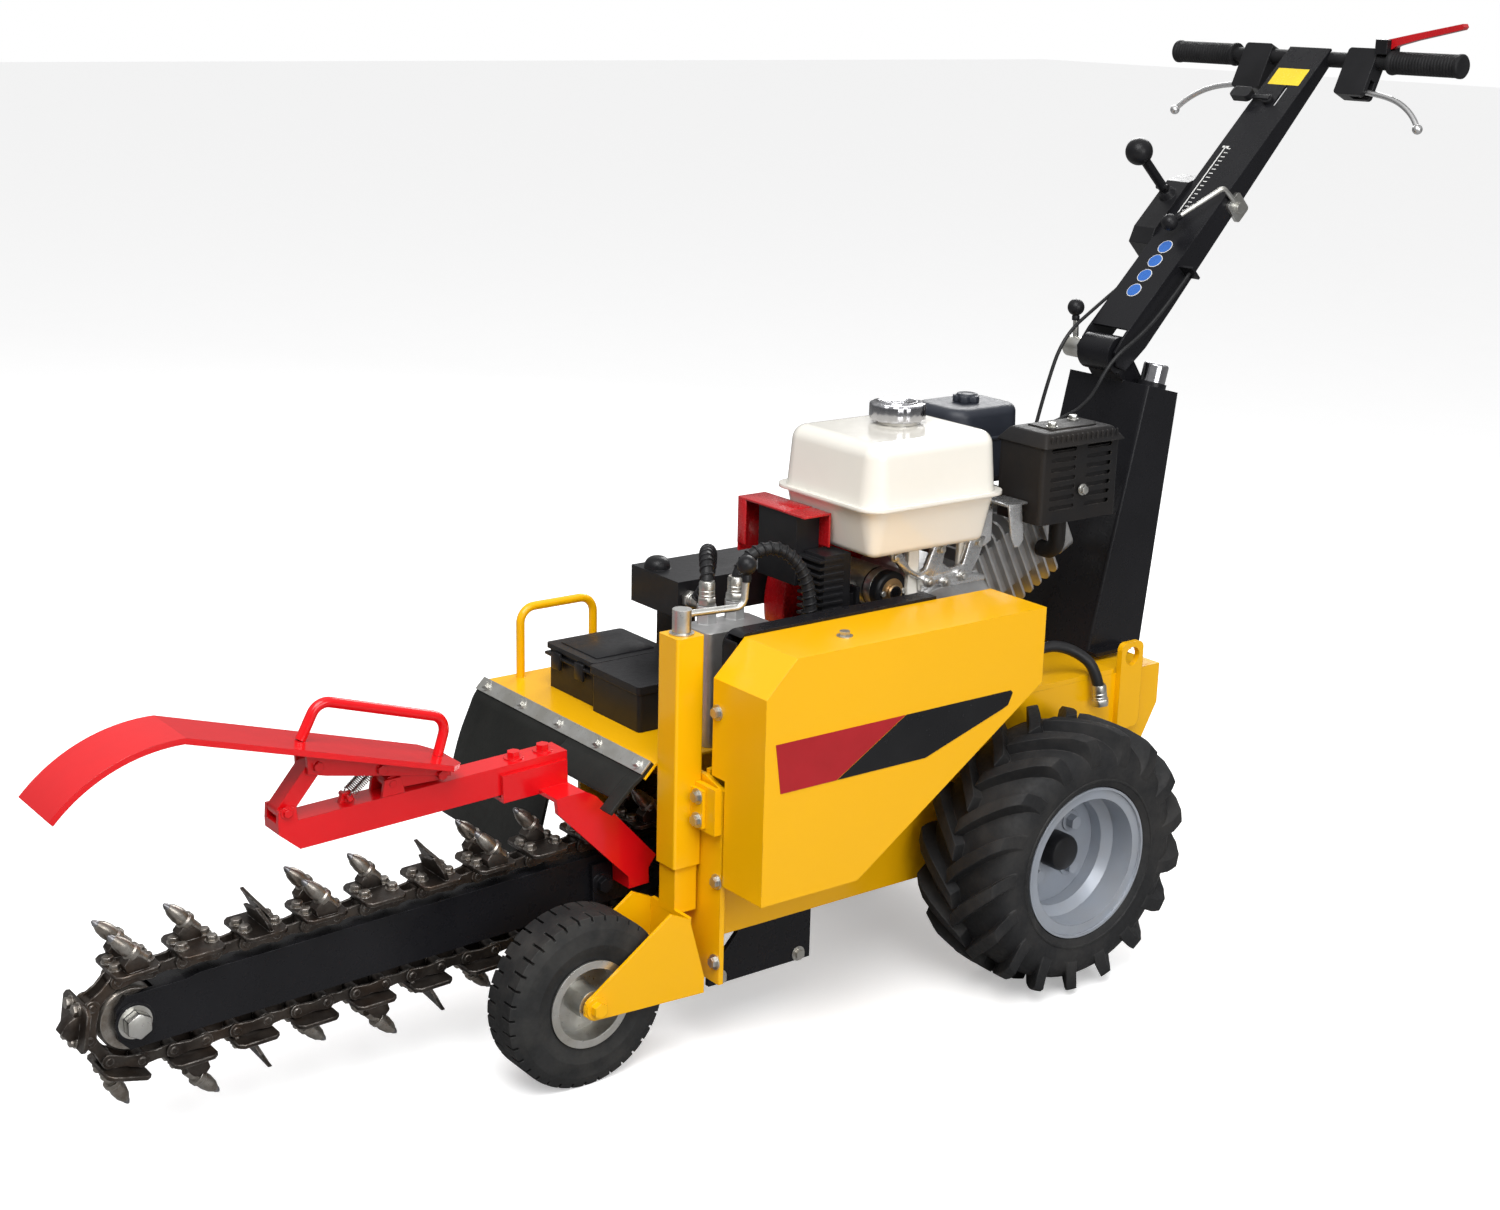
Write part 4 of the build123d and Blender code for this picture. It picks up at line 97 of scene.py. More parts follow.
class TrencherStage(bpy.types.PropertyGroup):
    """Camera, lights and floor."""

    camera_place: bpy.props.FloatVectorProperty(
        name="Camera place", description="Where the camera stands", size=3,
        default=(1.89259, 2.39786, 1.44166), subtype="TRANSLATION", unit="LENGTH")
    camera_turn: bpy.props.FloatProperty(
        name="Camera turn", description="Heading of the picture's right side", default=2.48762,
        subtype="ANGLE", unit="ROTATION")
    camera_height: bpy.props.FloatProperty(
        name="Camera height angle", description="How far the camera looks down",
        default=0.28013, subtype="ANGLE", unit="ROTATION")
    camera_roll: bpy.props.FloatProperty(
        name="Camera roll", description="Lean of the camera about its own line of sight",
        default=0.02513, subtype="ANGLE", unit="ROTATION")
    lens: bpy.props.FloatProperty(
        name="Lens", description="Focal length on a 36 mm sensor", default=52.376,
        subtype="DISTANCE_CAMERA", unit="CAMERA")
    key_power: bpy.props.FloatProperty(
        name="Key light", description="Power of the large soft light", default=150.0,
        subtype="POWER", unit="POWER")
    fill_power: bpy.props.FloatProperty(
        name="Fill light", description="Power of the soft light on the camera side",
        default=62.0, subtype="POWER", unit="POWER")


class TrencherColours(bpy.types.PropertyGroup):
    """Colours of the main finishes."""

    body: bpy.props.FloatVectorProperty(
        name="Body paint", description="Powder coat of the frame and covers", size=3,
        default=(0.87, 0.445, 0.001), subtype="COLOR", min=0, max=1)
    guard: bpy.props.FloatVectorProperty(
        name="Guard paint", description="Paint of the crumber arm and shoe", size=3,
        default=(0.70, 0.004, 0.008), subtype="COLOR", min=0, max=1)
    dark: bpy.props.FloatVectorProperty(
        name="Dark paint", description="Satin black of the bar, handle and oil tank", size=3,
        default=(0.008, 0.008, 0.0095), subtype="COLOR", min=0, max=1)
    tank: bpy.props.FloatVectorProperty(
        name="Fuel tank paint", description="Off-white enamel", size=3,
        default=(0.80, 0.77, 0.70), subtype="COLOR", min=0, max=1)
    rim: bpy.props.FloatVectorProperty(
        name="Rim paint", description="Silver grey of the drive wheels", size=3,
        default=(0.33, 0.36, 0.41), subtype="COLOR", min=0, max=1)
    rubber: bpy.props.FloatVectorProperty(
        name="Tyre rubber", description="Rubber of the drive tyres", size=3,
        default=(0.012, 0.0122, 0.013), subtype="COLOR", min=0, max=1)


class TrencherSizes(bpy.types.PropertyGroup):
    """Sizes of the visible detail."""

    chain_pitch_radius: bpy.props.FloatProperty(
        name="Pin circle", description="Radius of the chain pins round both ends",
        default=0.0575, unit="LENGTH")
    chain_links: bpy.props.IntProperty(
        name="Links", description="Number of chain links", default=50, min=10)
    chain_pitch: bpy.props.FloatProperty(
        name="Chain pitch", description="Distance between two chain pins",
        default=0.04201, unit="LENGTH")
    spring_wire: bpy.props.FloatProperty(
        name="Spring wire", description="Diameter of the spring wire", default=0.0019,
        unit="LENGTH")
    hose_radius: bpy.props.FloatProperty(
        name="Hose radius", description="Outer radius of a pressure hose", default=0.0088,
        unit="LENGTH")
    cable_radius: bpy.props.FloatProperty(
        name="Cable radius", description="Outer radius of a control cable", default=0.003,
        unit="LENGTH")
    lugs: bpy.props.IntProperty(
        name="Lugs", description="Lugs on each half of a drive tyre", default=17, min=6)
    knob_radius: bpy.props.FloatProperty(
        name="Knob radius", description="Radius of the small ball knobs", default=0.0136,
        unit="LENGTH")
    flap_sheet: bpy.props.FloatProperty(
        name="Flap thickness", description="Thickness of the rubber flap", default=0.006,
        unit="LENGTH")


def colours():
    return bpy.context.scene.trencher_colours


def sizes():
    return bpy.context.scene.trencher_sizes


# ---------------------------------------------------------------- finishes


def new_node(tree, kind, **values):
    node = tree.nodes.new(kind)
    for key, value in values.items():
        if hasattr(node, key):
            setattr(node, key, value)
        else:
            node.inputs[key.replace("_", " ")].default_value = value
    return node


def noise(tree, coords, scale, detail=4.0):
    node = new_node(tree, "ShaderNodeTexNoise")
    node.inputs["Scale"].default_value = scale
    node.inputs["Detail"].default_value = detail
    node.inputs["Roughness"].default_value = 0.6
    tree.links.new(coords, node.inputs["Vector"])
    return node.outputs["Fac"]


def ranged(tree, value, low, high, to_low=0.0, to_high=1.0):
    node = new_node(tree, "ShaderNodeMapRange")
    node.inputs["From Min"].default_value = low
    node.inputs["From Max"].default_value = high
    node.inputs["To Min"].default_value = to_low
    node.inputs["To Max"].default_value = to_high
    tree.links.new(value, node.inputs["Value"])
    return node.outputs["Result"]


def times(tree, first, second):
    node = new_node(tree, "ShaderNodeMath", operation="MULTIPLY")
    tree.links.new(first, node.inputs[0])
    tree.links.new(second, node.inputs[1])
    return node.outputs[0]


def blended(tree, share, first, second):
    """Colour between first and second; either may be a colour or an output."""
    node = new_node(tree, "ShaderNodeMix", data_type="RGBA")
    tree.links.new(share, node.inputs["Factor"])
    for socket, colour in ((node.inputs[6], first), (node.inputs[7], second)):
        if isinstance(colour, bpy.types.NodeSocket):
            tree.links.new(colour, socket)
        else:
            socket.default_value = (*colour, 1.0)
    return node.outputs[2]


def edge_mask(tree, coords, radius, wear_scale):
    """One on worn outer and inner edges, broken up by a noise."""
    bevel = new_node(tree, "ShaderNodeBevel", samples=4)
    bevel.inputs["Radius"].default_value = radius
    geometry = new_node(tree, "ShaderNodeNewGeometry")
    dot = new_node(tree, "ShaderNodeVectorMath", operation="DOT_PRODUCT")
    tree.links.new(bevel.outputs["Normal"], dot.inputs[0])
    tree.links.new(geometry.outputs["Normal"], dot.inputs[1])
    edge = ranged(tree, dot.outputs["Value"], 0.995, 0.88)
    broken = ranged(tree, noise(tree, coords, wear_scale), 0.42, 0.62)
    return times(tree, edge, broken)


def finish(name, colour, second, rough, metallic=0.0, blotch=7.0, grain=700.0,
           grain_depth=0.0001, soft_edge=0.0012, wear=None, wear_scale=60.0, dust=None,
           dust_share=0.4, coat=0.0, specular=0.5):
    """A procedural finish: broad colour change, grain, softened edges, wear and dust."""
    made = bpy.data.materials.new(name)
    made.use_nodes = True
    tree = made.node_tree
    tree.nodes.clear()
    output = new_node(tree, "ShaderNodeOutputMaterial")
    shader = new_node(tree, "ShaderNodeBsdfPrincipled")
    tree.links.new(shader.outputs[0], output.inputs[0])
    coords = new_node(tree, "ShaderNodeTexCoord").outputs["Object"]
    broad = ranged(tree, noise(tree, coords, blotch), 0.35, 0.65)
    shade = blended(tree, broad, colour, second)
    if dust is not None:
        patches = ranged(tree, noise(tree, coords, 16.0, 8.0), 0.45, 0.75, 0.0, dust_share)
        shade = blended(tree, patches, shade, dust)
    if wear is not None:
        shade = blended(tree, edge_mask(tree, coords, 0.0016, wear_scale), shade, wear)
    tree.links.new(shade, shader.inputs["Base Color"])
    uneven = ranged(tree, noise(tree, coords, blotch * 9), 0.3, 0.7, rough[0], rough[1])
    tree.links.new(uneven, shader.inputs["Roughness"])
    shader.inputs["Metallic"].default_value = metallic
    shader.inputs["Coat Weight"].default_value = coat
    shader.inputs["Coat Roughness"].default_value = 0.08
    shader.inputs["Specular IOR Level"].default_value = specular
    bump = new_node(tree, "ShaderNodeBump")
    bump.inputs["Strength"].default_value = 0.6
    bump.inputs["Distance"].default_value = grain_depth
    tree.links.new(noise(tree, coords, grain, 3.0), bump.inputs["Height"])
    if soft_edge:
        rounded = new_node(tree, "ShaderNodeBevel", samples=4)
        rounded.inputs["Radius"].default_value = soft_edge
        tree.links.new(rounded.outputs["Normal"], bump.inputs["Normal"])
    tree.links.new(bump.outputs["Normal"], shader.inputs["Normal"])
    return made


def paint_finishes():
    c = colours()
    body = tuple(c.body)
    guard = tuple(c.guard)
    dark = tuple(c.dark)
    tank = tuple(c.tank)
    return {
        "body_paint": finish(
            "body_paint", body, tuple(v * 0.98 for v in body), (0.24, 0.27), blotch=3.0,
            grain=420.0, grain_depth=0.00003, wear=tuple(v * 0.72 for v in body), coat=0.15,
            specular=0.35),
        "guard_paint": finish(
            "guard_paint", guard, tuple(v * 0.90 for v in guard), (0.18, 0.26), grain=420.0,
            grain_depth=0.00003, wear=(0.36, 0.01, 0.01), coat=0.3, specular=0.35),
        "dark_paint": finish(
            "dark_paint", dark, tuple(v * 1.25 for v in dark), (0.24, 0.34), grain=600.0,
            grain_depth=0.00005, wear=(0.03, 0.03, 0.034), specular=0.2),
        "heat_black": finish(
            "heat_black", (0.010, 0.010, 0.011), (0.018, 0.015, 0.013), (0.42, 0.58),
            grain=1500.0, grain_depth=0.00025, wear=(0.05, 0.045, 0.04), specular=0.2),
        "tank_enamel": finish(
            "tank_enamel", tank, tuple(v * 0.965 for v in tank), (0.14, 0.22), grain=160.0,
            grain_depth=0.00006, soft_edge=0.004, wear=(0.62, 0.58, 0.5), coat=0.6),
        "rim_paint": finish(
            "rim_paint", tuple(c.rim), tuple(v * 0.86 for v in c.rim), (0.28, 0.42),
            metallic=0.25, grain=500.0, grain_depth=0.0001, wear=(0.16, 0.16, 0.17),
            dust=(0.34, 0.30, 0.25), dust_share=0.22, coat=0.3),
    }


def metal_finishes():
    return {
        "zinc_plate": finish(
            "zinc_plate", (0.62, 0.62, 0.60), (0.47, 0.46, 0.42), (0.26, 0.42), metallic=0.95,
            blotch=24.0, grain=900.0, soft_edge=0.0006, wear=(0.78, 0.77, 0.74)),
        "chain_steel": finish(
            "chain_steel", (0.075, 0.066, 0.058), (0.035, 0.028, 0.024), (0.30, 0.50),
            metallic=0.85, blotch=45.0, grain=700.0, grain_depth=0.0003, soft_edge=0.0008,
            wear=(0.42, 0.40, 0.38), wear_scale=110.0, dust=(0.10, 0.058, 0.032),
            dust_share=0.45),
        "tooth_steel": finish(
            "tooth_steel", (0.36, 0.34, 0.31), (0.20, 0.175, 0.15), (0.24, 0.42), metallic=0.9,
            blotch=60.0, grain=600.0, grain_depth=0.0003, soft_edge=0.0008,
            wear=(0.62, 0.60, 0.57), dust=(0.16, 0.105, 0.06), dust_share=0.35),
        "carbide": finish(
            "carbide", (0.30, 0.30, 0.31), (0.20, 0.20, 0.21), (0.25, 0.40), metallic=0.9,
            blotch=80.0, grain=900.0, grain_depth=0.0002),
        "cast_alloy": finish(
            "cast_alloy", (0.55, 0.55, 0.55), (0.42, 0.42, 0.42), (0.32, 0.48), metallic=0.8,
            blotch=18.0, grain=650.0, grain_depth=0.0004, soft_edge=0.0022,
            wear=(0.72, 0.72, 0.72)),
        "bright_alloy": finish(
            "bright_alloy", (0.70, 0.70, 0.70), (0.58, 0.58, 0.58), (0.22, 0.36), metallic=0.9,
            blotch=18.0, grain=500.0, grain_depth=0.0001, soft_edge=0.0015,
            wear=(0.80, 0.80, 0.80)),
        "dark_casting": finish(
            "dark_casting", (0.018, 0.018, 0.019), (0.034, 0.033, 0.032), (0.40, 0.60),
            metallic=0.2, blotch=14.0, grain=450.0, grain_depth=0.0005, soft_edge=0.0022,
            wear=(0.16, 0.15, 0.14), specular=0.25),
        "polished_chrome": finish(
            "polished_chrome", (0.52, 0.52, 0.54), (0.44, 0.44, 0.46), (0.10, 0.20),
            metallic=1.0, blotch=20.0, grain=300.0, grain_depth=0.00003, soft_edge=0.0012,
            wear=(0.7, 0.7, 0.7)),
        "bronze": finish(
            "bronze", (0.48, 0.33, 0.17), (0.34, 0.22, 0.11), (0.28, 0.42), metallic=0.9,
            blotch=30.0, grain=700.0, soft_edge=0.001, wear=(0.7, 0.52, 0.3)),
    }


def soft_finishes():
    rubber = tuple(colours().rubber)
    return {
        "tyre_rubber": finish(
            "tyre_rubber", rubber, tuple(v * 1.5 for v in rubber), (0.52, 0.74), blotch=16.0,
            grain=900.0, grain_depth=0.0003, soft_edge=0.0012, wear=(0.045, 0.044, 0.042),
            dust=(0.07, 0.062, 0.052), dust_share=0.25, specular=0.25),
        "dusty_rubber": finish(
            "dusty_rubber", (0.014, 0.0145, 0.015), (0.026, 0.026, 0.026), (0.60, 0.80),
            blotch=20.0, grain=900.0, grain_depth=0.0003, soft_edge=0.0014,
            wear=(0.06, 0.06, 0.058), dust=(0.09, 0.085, 0.075), dust_share=0.30, specular=0.2),
        "flap_rubber": finish(
            "flap_rubber", (0.010, 0.0105, 0.0095), (0.016, 0.0165, 0.015), (0.38, 0.55),
            blotch=9.0, grain=300.0, grain_depth=0.0003, soft_edge=0.001,
            wear=(0.04, 0.04, 0.038), dust=(0.03, 0.027, 0.023), dust_share=0.2, specular=0.2),
        "hose_rubber": finish(
            "hose_rubber", (0.011, 0.011, 0.012), (0.019, 0.019, 0.020), (0.34, 0.5),
            blotch=25.0, grain=1200.0, grain_depth=0.0002, soft_edge=0.0, specular=0.25),
        "grip_rubber": finish(
            "grip_rubber", (0.009, 0.009, 0.010), (0.015, 0.015, 0.016), (0.50, 0.68),
            blotch=25.0, grain=1500.0, grain_depth=0.0004, soft_edge=0.0012,
            wear=(0.03, 0.03, 0.03), specular=0.2),
        "black_plastic": finish(
            "black_plastic", (0.0085, 0.0085, 0.0095), (0.0130, 0.0130, 0.0145),
            (0.28, 0.40), blotch=12.0, grain=1700.0, grain_depth=0.00015, soft_edge=0.0018,
            wear=(0.03, 0.03, 0.033), specular=0.22),
        "filter_plastic": finish(
            "filter_plastic", (0.014, 0.017, 0.026), (0.020, 0.024, 0.034), (0.40, 0.52),
            blotch=12.0, grain=1500.0, grain_depth=0.0003, soft_edge=0.003,
            wear=(0.04, 0.045, 0.055)),
        "red_plastic": finish(
            "red_plastic", (0.50, 0.008, 0.012), (0.42, 0.006, 0.010), (0.20, 0.32),
            blotch=12.0, grain=900.0, grain_depth=0.00008, soft_edge=0.0015,
            wear=(0.60, 0.05, 0.05), coat=0.4),
        "blue_film": finish(
            "blue_film", (0.02, 0.13, 0.48), (0.02, 0.11, 0.42), (0.22, 0.32), blotch=30.0,
            grain=300.0, grain_depth=0.00002, soft_edge=0.0),
        "black_film": finish(
            "black_film", (0.008, 0.008, 0.009), (0.011, 0.011, 0.012), (0.20, 0.28),
            blotch=10.0, grain=200.0, grain_depth=0.00003, soft_edge=0.0, specular=0.2),
        "red_film": finish(
            "red_film", (0.40, 0.006, 0.012), (0.34, 0.004, 0.008), (0.16, 0.26),
            blotch=10.0, grain=200.0, grain_depth=0.00003, soft_edge=0.0),
        "pale_film": finish(
            "pale_film", (0.74, 0.74, 0.72), (0.66, 0.66, 0.64), (0.25, 0.35), blotch=30.0,
            grain=300.0, grain_depth=0.00002, soft_edge=0.0),
        "yellow_film": finish(
            "yellow_film", (0.82, 0.62, 0.02), (0.76, 0.56, 0.02), (0.2, 0.3), blotch=30.0,
            grain=300.0, grain_depth=0.00002, soft_edge=0.0),
    }


FINISH_OF_NODE = {
    "body_paint": ("frame_sides", "rear_beam", "engine_deck", "front_deck", "mast_tube",
                   "belt_cover", "front_fork"),
    "guard_paint": ("crumber_arm", "front_link", "rear_link", "crumber_shoe"),
    "dark_paint": ("chain_gearbox", "inner_guard", "hydraulic_tank", "boom_bar", "handle_arm"),
    "heat_black": ("muffler",),
    "tank_enamel": ("fuel_tank",),
    "rim_paint": ("left_wheel", "right_wheel"),
    "zinc_plate": ("flap_strip", "chassis_bolts", "front_rim", "crank_handle", "side_lever",
                   "clamp_lever"),
    "chain_steel": ("digging_chain", "cutter_teeth", "drive_sprocket"),
    "tooth_steel": ("tip_roller", "crumber_springs"),
    "cast_alloy": ("engine_block", "hydraulic_pump"),
    "bright_alloy": ("left_lever", "right_lever"),
    "dark_casting": ("transaxle", "engine_pulley", "pump_pulley"),
    "polished_chrome": ("fuel_cap", "breather_cap"),
    "tyre_rubber": ("left_tyre", "right_tyre"),
    "dusty_rubber": ("front_tyre",),
    "flap_rubber": ("rubber_flap",),
    "hose_rubber": ("hydraulic_hoses", "control_cables", "drive_belt"),
    "grip_rubber": ("handlebar",),
    "black_plastic": ("engine_electrics", "battery", "tool_box", "tool_box_lid", "valve_cover",
                      "lever_housings", "gear_console", "joystick", "throttle_lever"),
    "filter_plastic": ("air_cleaner",),
    "red_plastic": ("fan_shroud", "red_lever"),
}

finishes = {}


# ---------------------------------------------------------------- modelling helpers


def deselect():
    if bpy.context.mode != "OBJECT":
        bpy.ops.object.mode_set(mode="OBJECT")
    bpy.ops.object.select_all(action="DESELECT")


def select_only(piece):
    deselect()
    piece.select_set(True)
    bpy.context.view_layer.objects.active = piece


def active_named(name):
    piece = bpy.context.view_layer.objects.active
    piece.name = name
    piece.data.name = name
    return piece


def edit(piece):
    select_only(piece)
    bpy.ops.object.mode_set(mode="EDIT")
    bpy.ops.mesh.select_mode(type="VERT")
    bpy.ops.mesh.select_all(action="SELECT")


def leave_edit():
    bpy.ops.object.mode_set(mode="OBJECT")


def settle(piece):
    """Puts the place into the mesh."""
    select_only(piece)
    bpy.ops.object.transform_apply(location=True, rotation=True, scale=True)
    return piece


def modified(piece, kind, **values):
    """Adds one modifier and applies it."""
    select_only(piece)
    modifier = piece.modifiers.new(kind.lower(), kind)
    for key, value in values.items():
        setattr(modifier, key, value)
    bpy.ops.object.modifier_apply(modifier=modifier.name)
    return piece


def rounded(piece, width, segments=2, angle=0.6):
    return modified(
        piece, "BEVEL", width=width, segments=segments, limit_method="ANGLE", angle_limit=angle)


def clean(piece):
    """Merges doubles and turns every face outwards."""
    edit(piece)
    bpy.ops.mesh.remove_doubles(threshold=0.00001)
    bpy.ops.mesh.normals_make_consistent(inside=False)
    leave_edit()
    return piece


def smooth(piece, angle=0.6):
    select_only(piece)
    bpy.ops.object.shade_smooth_by_angle(angle=angle)
    return piece


def joined(name, pieces):
    deselect()
    for piece in pieces:
        piece.select_set(True)
    bpy.context.view_layer.objects.active = pieces[0]
    bpy.ops.object.join()
    return active_named(name)


def copied(piece, matrix):
    """A copy with its own mesh, moved by the matrix."""
    twin = piece.copy()
    twin.data = piece.data.copy()
    bpy.context.scene.collection.objects.link(twin)
    twin.data.transform(matrix)
    if matrix.determinant() < 0:
        twin.data.flip_normals()
    return twin


def discard(*pieces):
    for piece in pieces:
        bpy.data.objects.remove(piece, do_unlink=True)


def finished(piece, body, finish_name, nodes=()):
    """Gives a piece its finish, its body and the nodes it stands for."""
    piece.data.materials.clear()
    piece.data.materials.append(finishes[finish_name])
    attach(piece, body)
    if nodes:
        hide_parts(*nodes)
    return piece


def cylinder(name, radius, start, end, sides=24, tip_radius=None):
    """A bar from start to end; a cone frustum when it has a tip radius."""
    start = Vector(start)
    end = Vector(end)
    run = end - start
    turn = run.to_track_quat("Z", "Y").to_euler()
    deselect()
    bpy.ops.mesh.primitive_cone_add(
        vertices=sides, radius1=radius, radius2=radius if tip_radius is None else tip_radius,
        depth=run.length, location=(start + end) / 2, rotation=turn)
    return settle(active_named(name))


def block(name, low, high):
    low = Vector(low)
    high = Vector(high)
    deselect()
    bpy.ops.mesh.primitive_cube_add(size=1.0, location=(low + high) / 2, scale=high - low)
    return settle(active_named(name))


def drawn(name, points):
    """An open line of edges, drawn point by point."""
    deselect()
    bpy.ops.mesh.primitive_plane_add(size=0.001, location=points[0])
    piece = active_named(name)
    edit(piece)
    bpy.ops.mesh.merge(type="CENTER")
    for before, after in zip(points, points[1:]):
        step = Vector(after) - Vector(before)
        bpy.ops.mesh.extrude_vertices_move(TRANSFORM_OT_translate={"value": step})
    leave_edit()
    return settle(piece)


def plate(name, outline, thickness):
    """A flat plate: the outline is closed, filled and pulled out by the thickness vector."""
    piece = drawn(name, outline)
    edit(piece)
    bpy.ops.mesh.edge_face_add()
    bpy.ops.mesh.extrude_region_move(TRANSFORM_OT_translate={"value": Vector(thickness)})
    bpy.ops.mesh.select_all(action="SELECT")
    bpy.ops.mesh.normals_make_consistent(inside=False)
    leave_edit()
    return piece


def turned(name, profile, steps=48):
    """Spins a profile of (radius, height) about the Z axis."""
    piece = drawn(name, [(radius, 0.0, height) for radius, height in profile])
    edit(piece)
    bpy.ops.mesh.spin(steps=steps, angle=FULL_TURN, center=(0, 0, 0), axis=(0, 0, 1))
    bpy.ops.mesh.select_all(action="SELECT")
    bpy.ops.mesh.remove_doubles(threshold=0.00001)
    bpy.ops.mesh.normals_make_consistent(inside=False)
    leave_edit()
    return piece


def aimed(direction, place=(0, 0, 0)):
    """Matrix that takes the Z axis to a direction at a place."""
    turn = Vector(direction).to_track_quat("Z", "Y").to_matrix().to_4x4()
    return Matrix.Translation(Vector(place)) @ turn


def basis(x_axis, y_axis, z_axis, place=(0, 0, 0)):
    turn = Matrix((x_axis, y_axis, z_axis)).transposed().to_4x4()
    return Matrix.Translation(Vector(place)) @ turn


def boom_matrix():
    return Matrix.Translation(BOOM_PIVOT) @ Matrix.Rotation(BOOM_TILT, 4, "Y")


def boom_place(along, up, y=0.0):
    """Millimetres along and above the bar to a place in metres."""
    return boom_matrix() @ Vector((along / 1000, y / 1000, up / 1000))


def handle_place(along, out, y=0.0):
    """Millimetres along and out from the handle arm to a place in metres."""
    c = math.cos(HANDLE_SLOPE)
    s = math.sin(HANDLE_SLOPE)
    return HANDLE_PIVOT + Vector((-along * c + out * s, y, along * s + out * c)) / 1000


def ahead(x, y, z):
    """Millimetres from the rear axle, left and up to a place in metres."""
    return Vector((REAR_AXLE_X + x / 1000, y / 1000, z / 1000))


def nurbs(name, points, radius, sides=3):
    """A smooth tube along points, kept as an open spline."""
    data = bpy.data.curves.new(name, "CURVE")
    data.dimensions = "3D"
    data.resolution_u = 10
    spline = data.splines.new("NURBS")
    spline.points.add(len(points) - 1)
    for point, place in zip(spline.points, points):
        point.co = (*place, 1.0)
    spline.order_u = 3
    spline.use_endpoint_u = True
    data.bevel_depth = radius
    data.bevel_resolution = sides
    data.use_fill_caps = True
    piece = bpy.data.objects.new(name, data)
    bpy.context.scene.collection.objects.link(piece)
    return piece


def as_mesh(piece):
    select_only(piece)
    bpy.ops.object.convert(target="MESH")
    piece = bpy.context.view_layer.objects.active
    clean(piece)
    return smooth(piece, 1.0)


def line_points(piece):
    """Points along a route's own spline."""
    data = piece.data.copy()
    data.bevel_depth = 0.0
    thin = bpy.data.objects.new("thin", data)
    bpy.context.scene.collection.objects.link(thin)
    bpy.context.view_layer.update()
    mesh = bpy.data.meshes.new_from_object(thin)
    points = [v.co.copy() for v in mesh.vertices]
    bpy.data.objects.remove(thin, do_unlink=True)
    return points


def along_line(points, step):
    """Evenly spaced places and headings along a line."""
    found = []
    left = 0.0
    for before, after in zip(points, points[1:]):
        run = after - before
        length = run.length
        while left < length:
            found.append((before + run * (left / length), run.normalized()))
            left += step
        left -= length
    return found


def helix_round(points, radius, pitch, turns_step=10):
    """Points of a helix that winds round a line."""
    places = along_line(points, pitch / turns_step)
    side = places[0][1].orthogonal().normalized()
    found = []
    for index, (place, heading) in enumerate(places):
        side = (side - heading * side.dot(heading)).normalized()
        other = heading.cross(side)
        angle = FULL_TURN * index / turns_step
        found.append(place + (side * math.cos(angle) + other * math.sin(angle)) * radius)
    return found


def hex_head(name, across, height, washer=True):
    """A bolt head on the XY plane, pointing up, with a washer under it."""
    deselect()
    bpy.ops.mesh.primitive_cylinder_add(
        vertices=6, radius=across / math.sqrt(3), depth=height,
        location=(0, 0, height / 2 + (0.0015 if washer else 0)))
    head = settle(active_named(name))
    rounded(head, across * 0.06, 2)
    if not washer:
        return head
    disc = cylinder(name + "_washer", across * 0.72, (0, 0, 0), (0, 0, 0.0015), 24)
    return joined(name, [head, disc])


# ---------------------------------------------------------------- chain and teeth


def chain_place(travelled):
    """Place along and above the bar after travelling along the pin line."""
    radius = sizes().chain_pitch_radius
    half_step = math.asin(sizes().chain_pitch / 2 / radius)
    bend = math.pi * radius * math.sin(half_step) / half_step
    distance = travelled % (2 * BOOM_LENGTH + 2 * bend)
    if distance < BOOM_LENGTH:
        return distance, radius
    distance -= BOOM_LENGTH
    if distance < bend:
        angle = math.pi * distance / bend
        return BOOM_LENGTH + radius * math.sin(angle), radius * math.cos(angle)
    distance -= bend
    if distance < BOOM_LENGTH:
        return BOOM_LENGTH - distance, -radius
    distance -= BOOM_LENGTH
    angle = math.pi * distance / bend
    return -radius * math.sin(angle), -radius * math.cos(angle)


def chain_pins():
    radius = sizes().chain_pitch_radius
    half_step = math.asin(sizes().chain_pitch / 2 / radius)
    bend = math.pi * radius * math.sin(half_step) / half_step
    count = sizes().chain_links
    step = (2 * BOOM_LENGTH + 2 * bend) / count
    return [chain_place(index * step + 0.006) for index in range(count)]


def link_plate(name, length, half_height, low_y, high_y):
    """A waisted side plate between two pins on the X axis."""
    outline = []
    ends = ((length, -80), (0.0, 100))
    for centre, first in ends:
        for index in range(9):
            angle = math.radians(first + 20 * index)
            outline.append(
                (centre + half_height * math.cos(angle), low_y, half_height * math.sin(angle)))
        waist = half_height * 0.68 * (1 if first < 0 else -1)
        outline.append((length / 2, low_y, waist))
    piece = plate(name, outline, (0, high_y - low_y, 0))
    return rounded(piece, 0.0006, 1, 0.9)


def link_model(name, pitch, outer):
    """Two side plates with the pins or the rollers between them."""
    low, high = (0.0132, 0.0168) if outer else (0.0092, 0.0128)
    left = link_plate(name + "_left", pitch, 0.0098, low, high)
    right = link_plate(name + "_right", pitch, 0.0098, -high, -low)
    parts = [left, right]
    for along in (0.0, pitch):
        if outer:
            pin = cylinder(
                name + "_pin", 0.0048, (along, -0.0178, 0), (along, 0.0178, 0), 14)
            parts.append(rounded(pin, 0.0008, 1))
        else:
            parts.append(cylinder(
                name + "_roller", 0.0085, (along, -0.0088, 0), (along, 0.0088, 0), 18))
    return joined(name, parts)


def link_matrix(start, end):
    heading = math.atan2(end[1] - start[1], end[0] - start[0])
    place = Matrix.Translation((start[0], 0, start[1]))
    return boom_matrix() @ place @ Matrix.Rotation(-heading, 4, "Y")


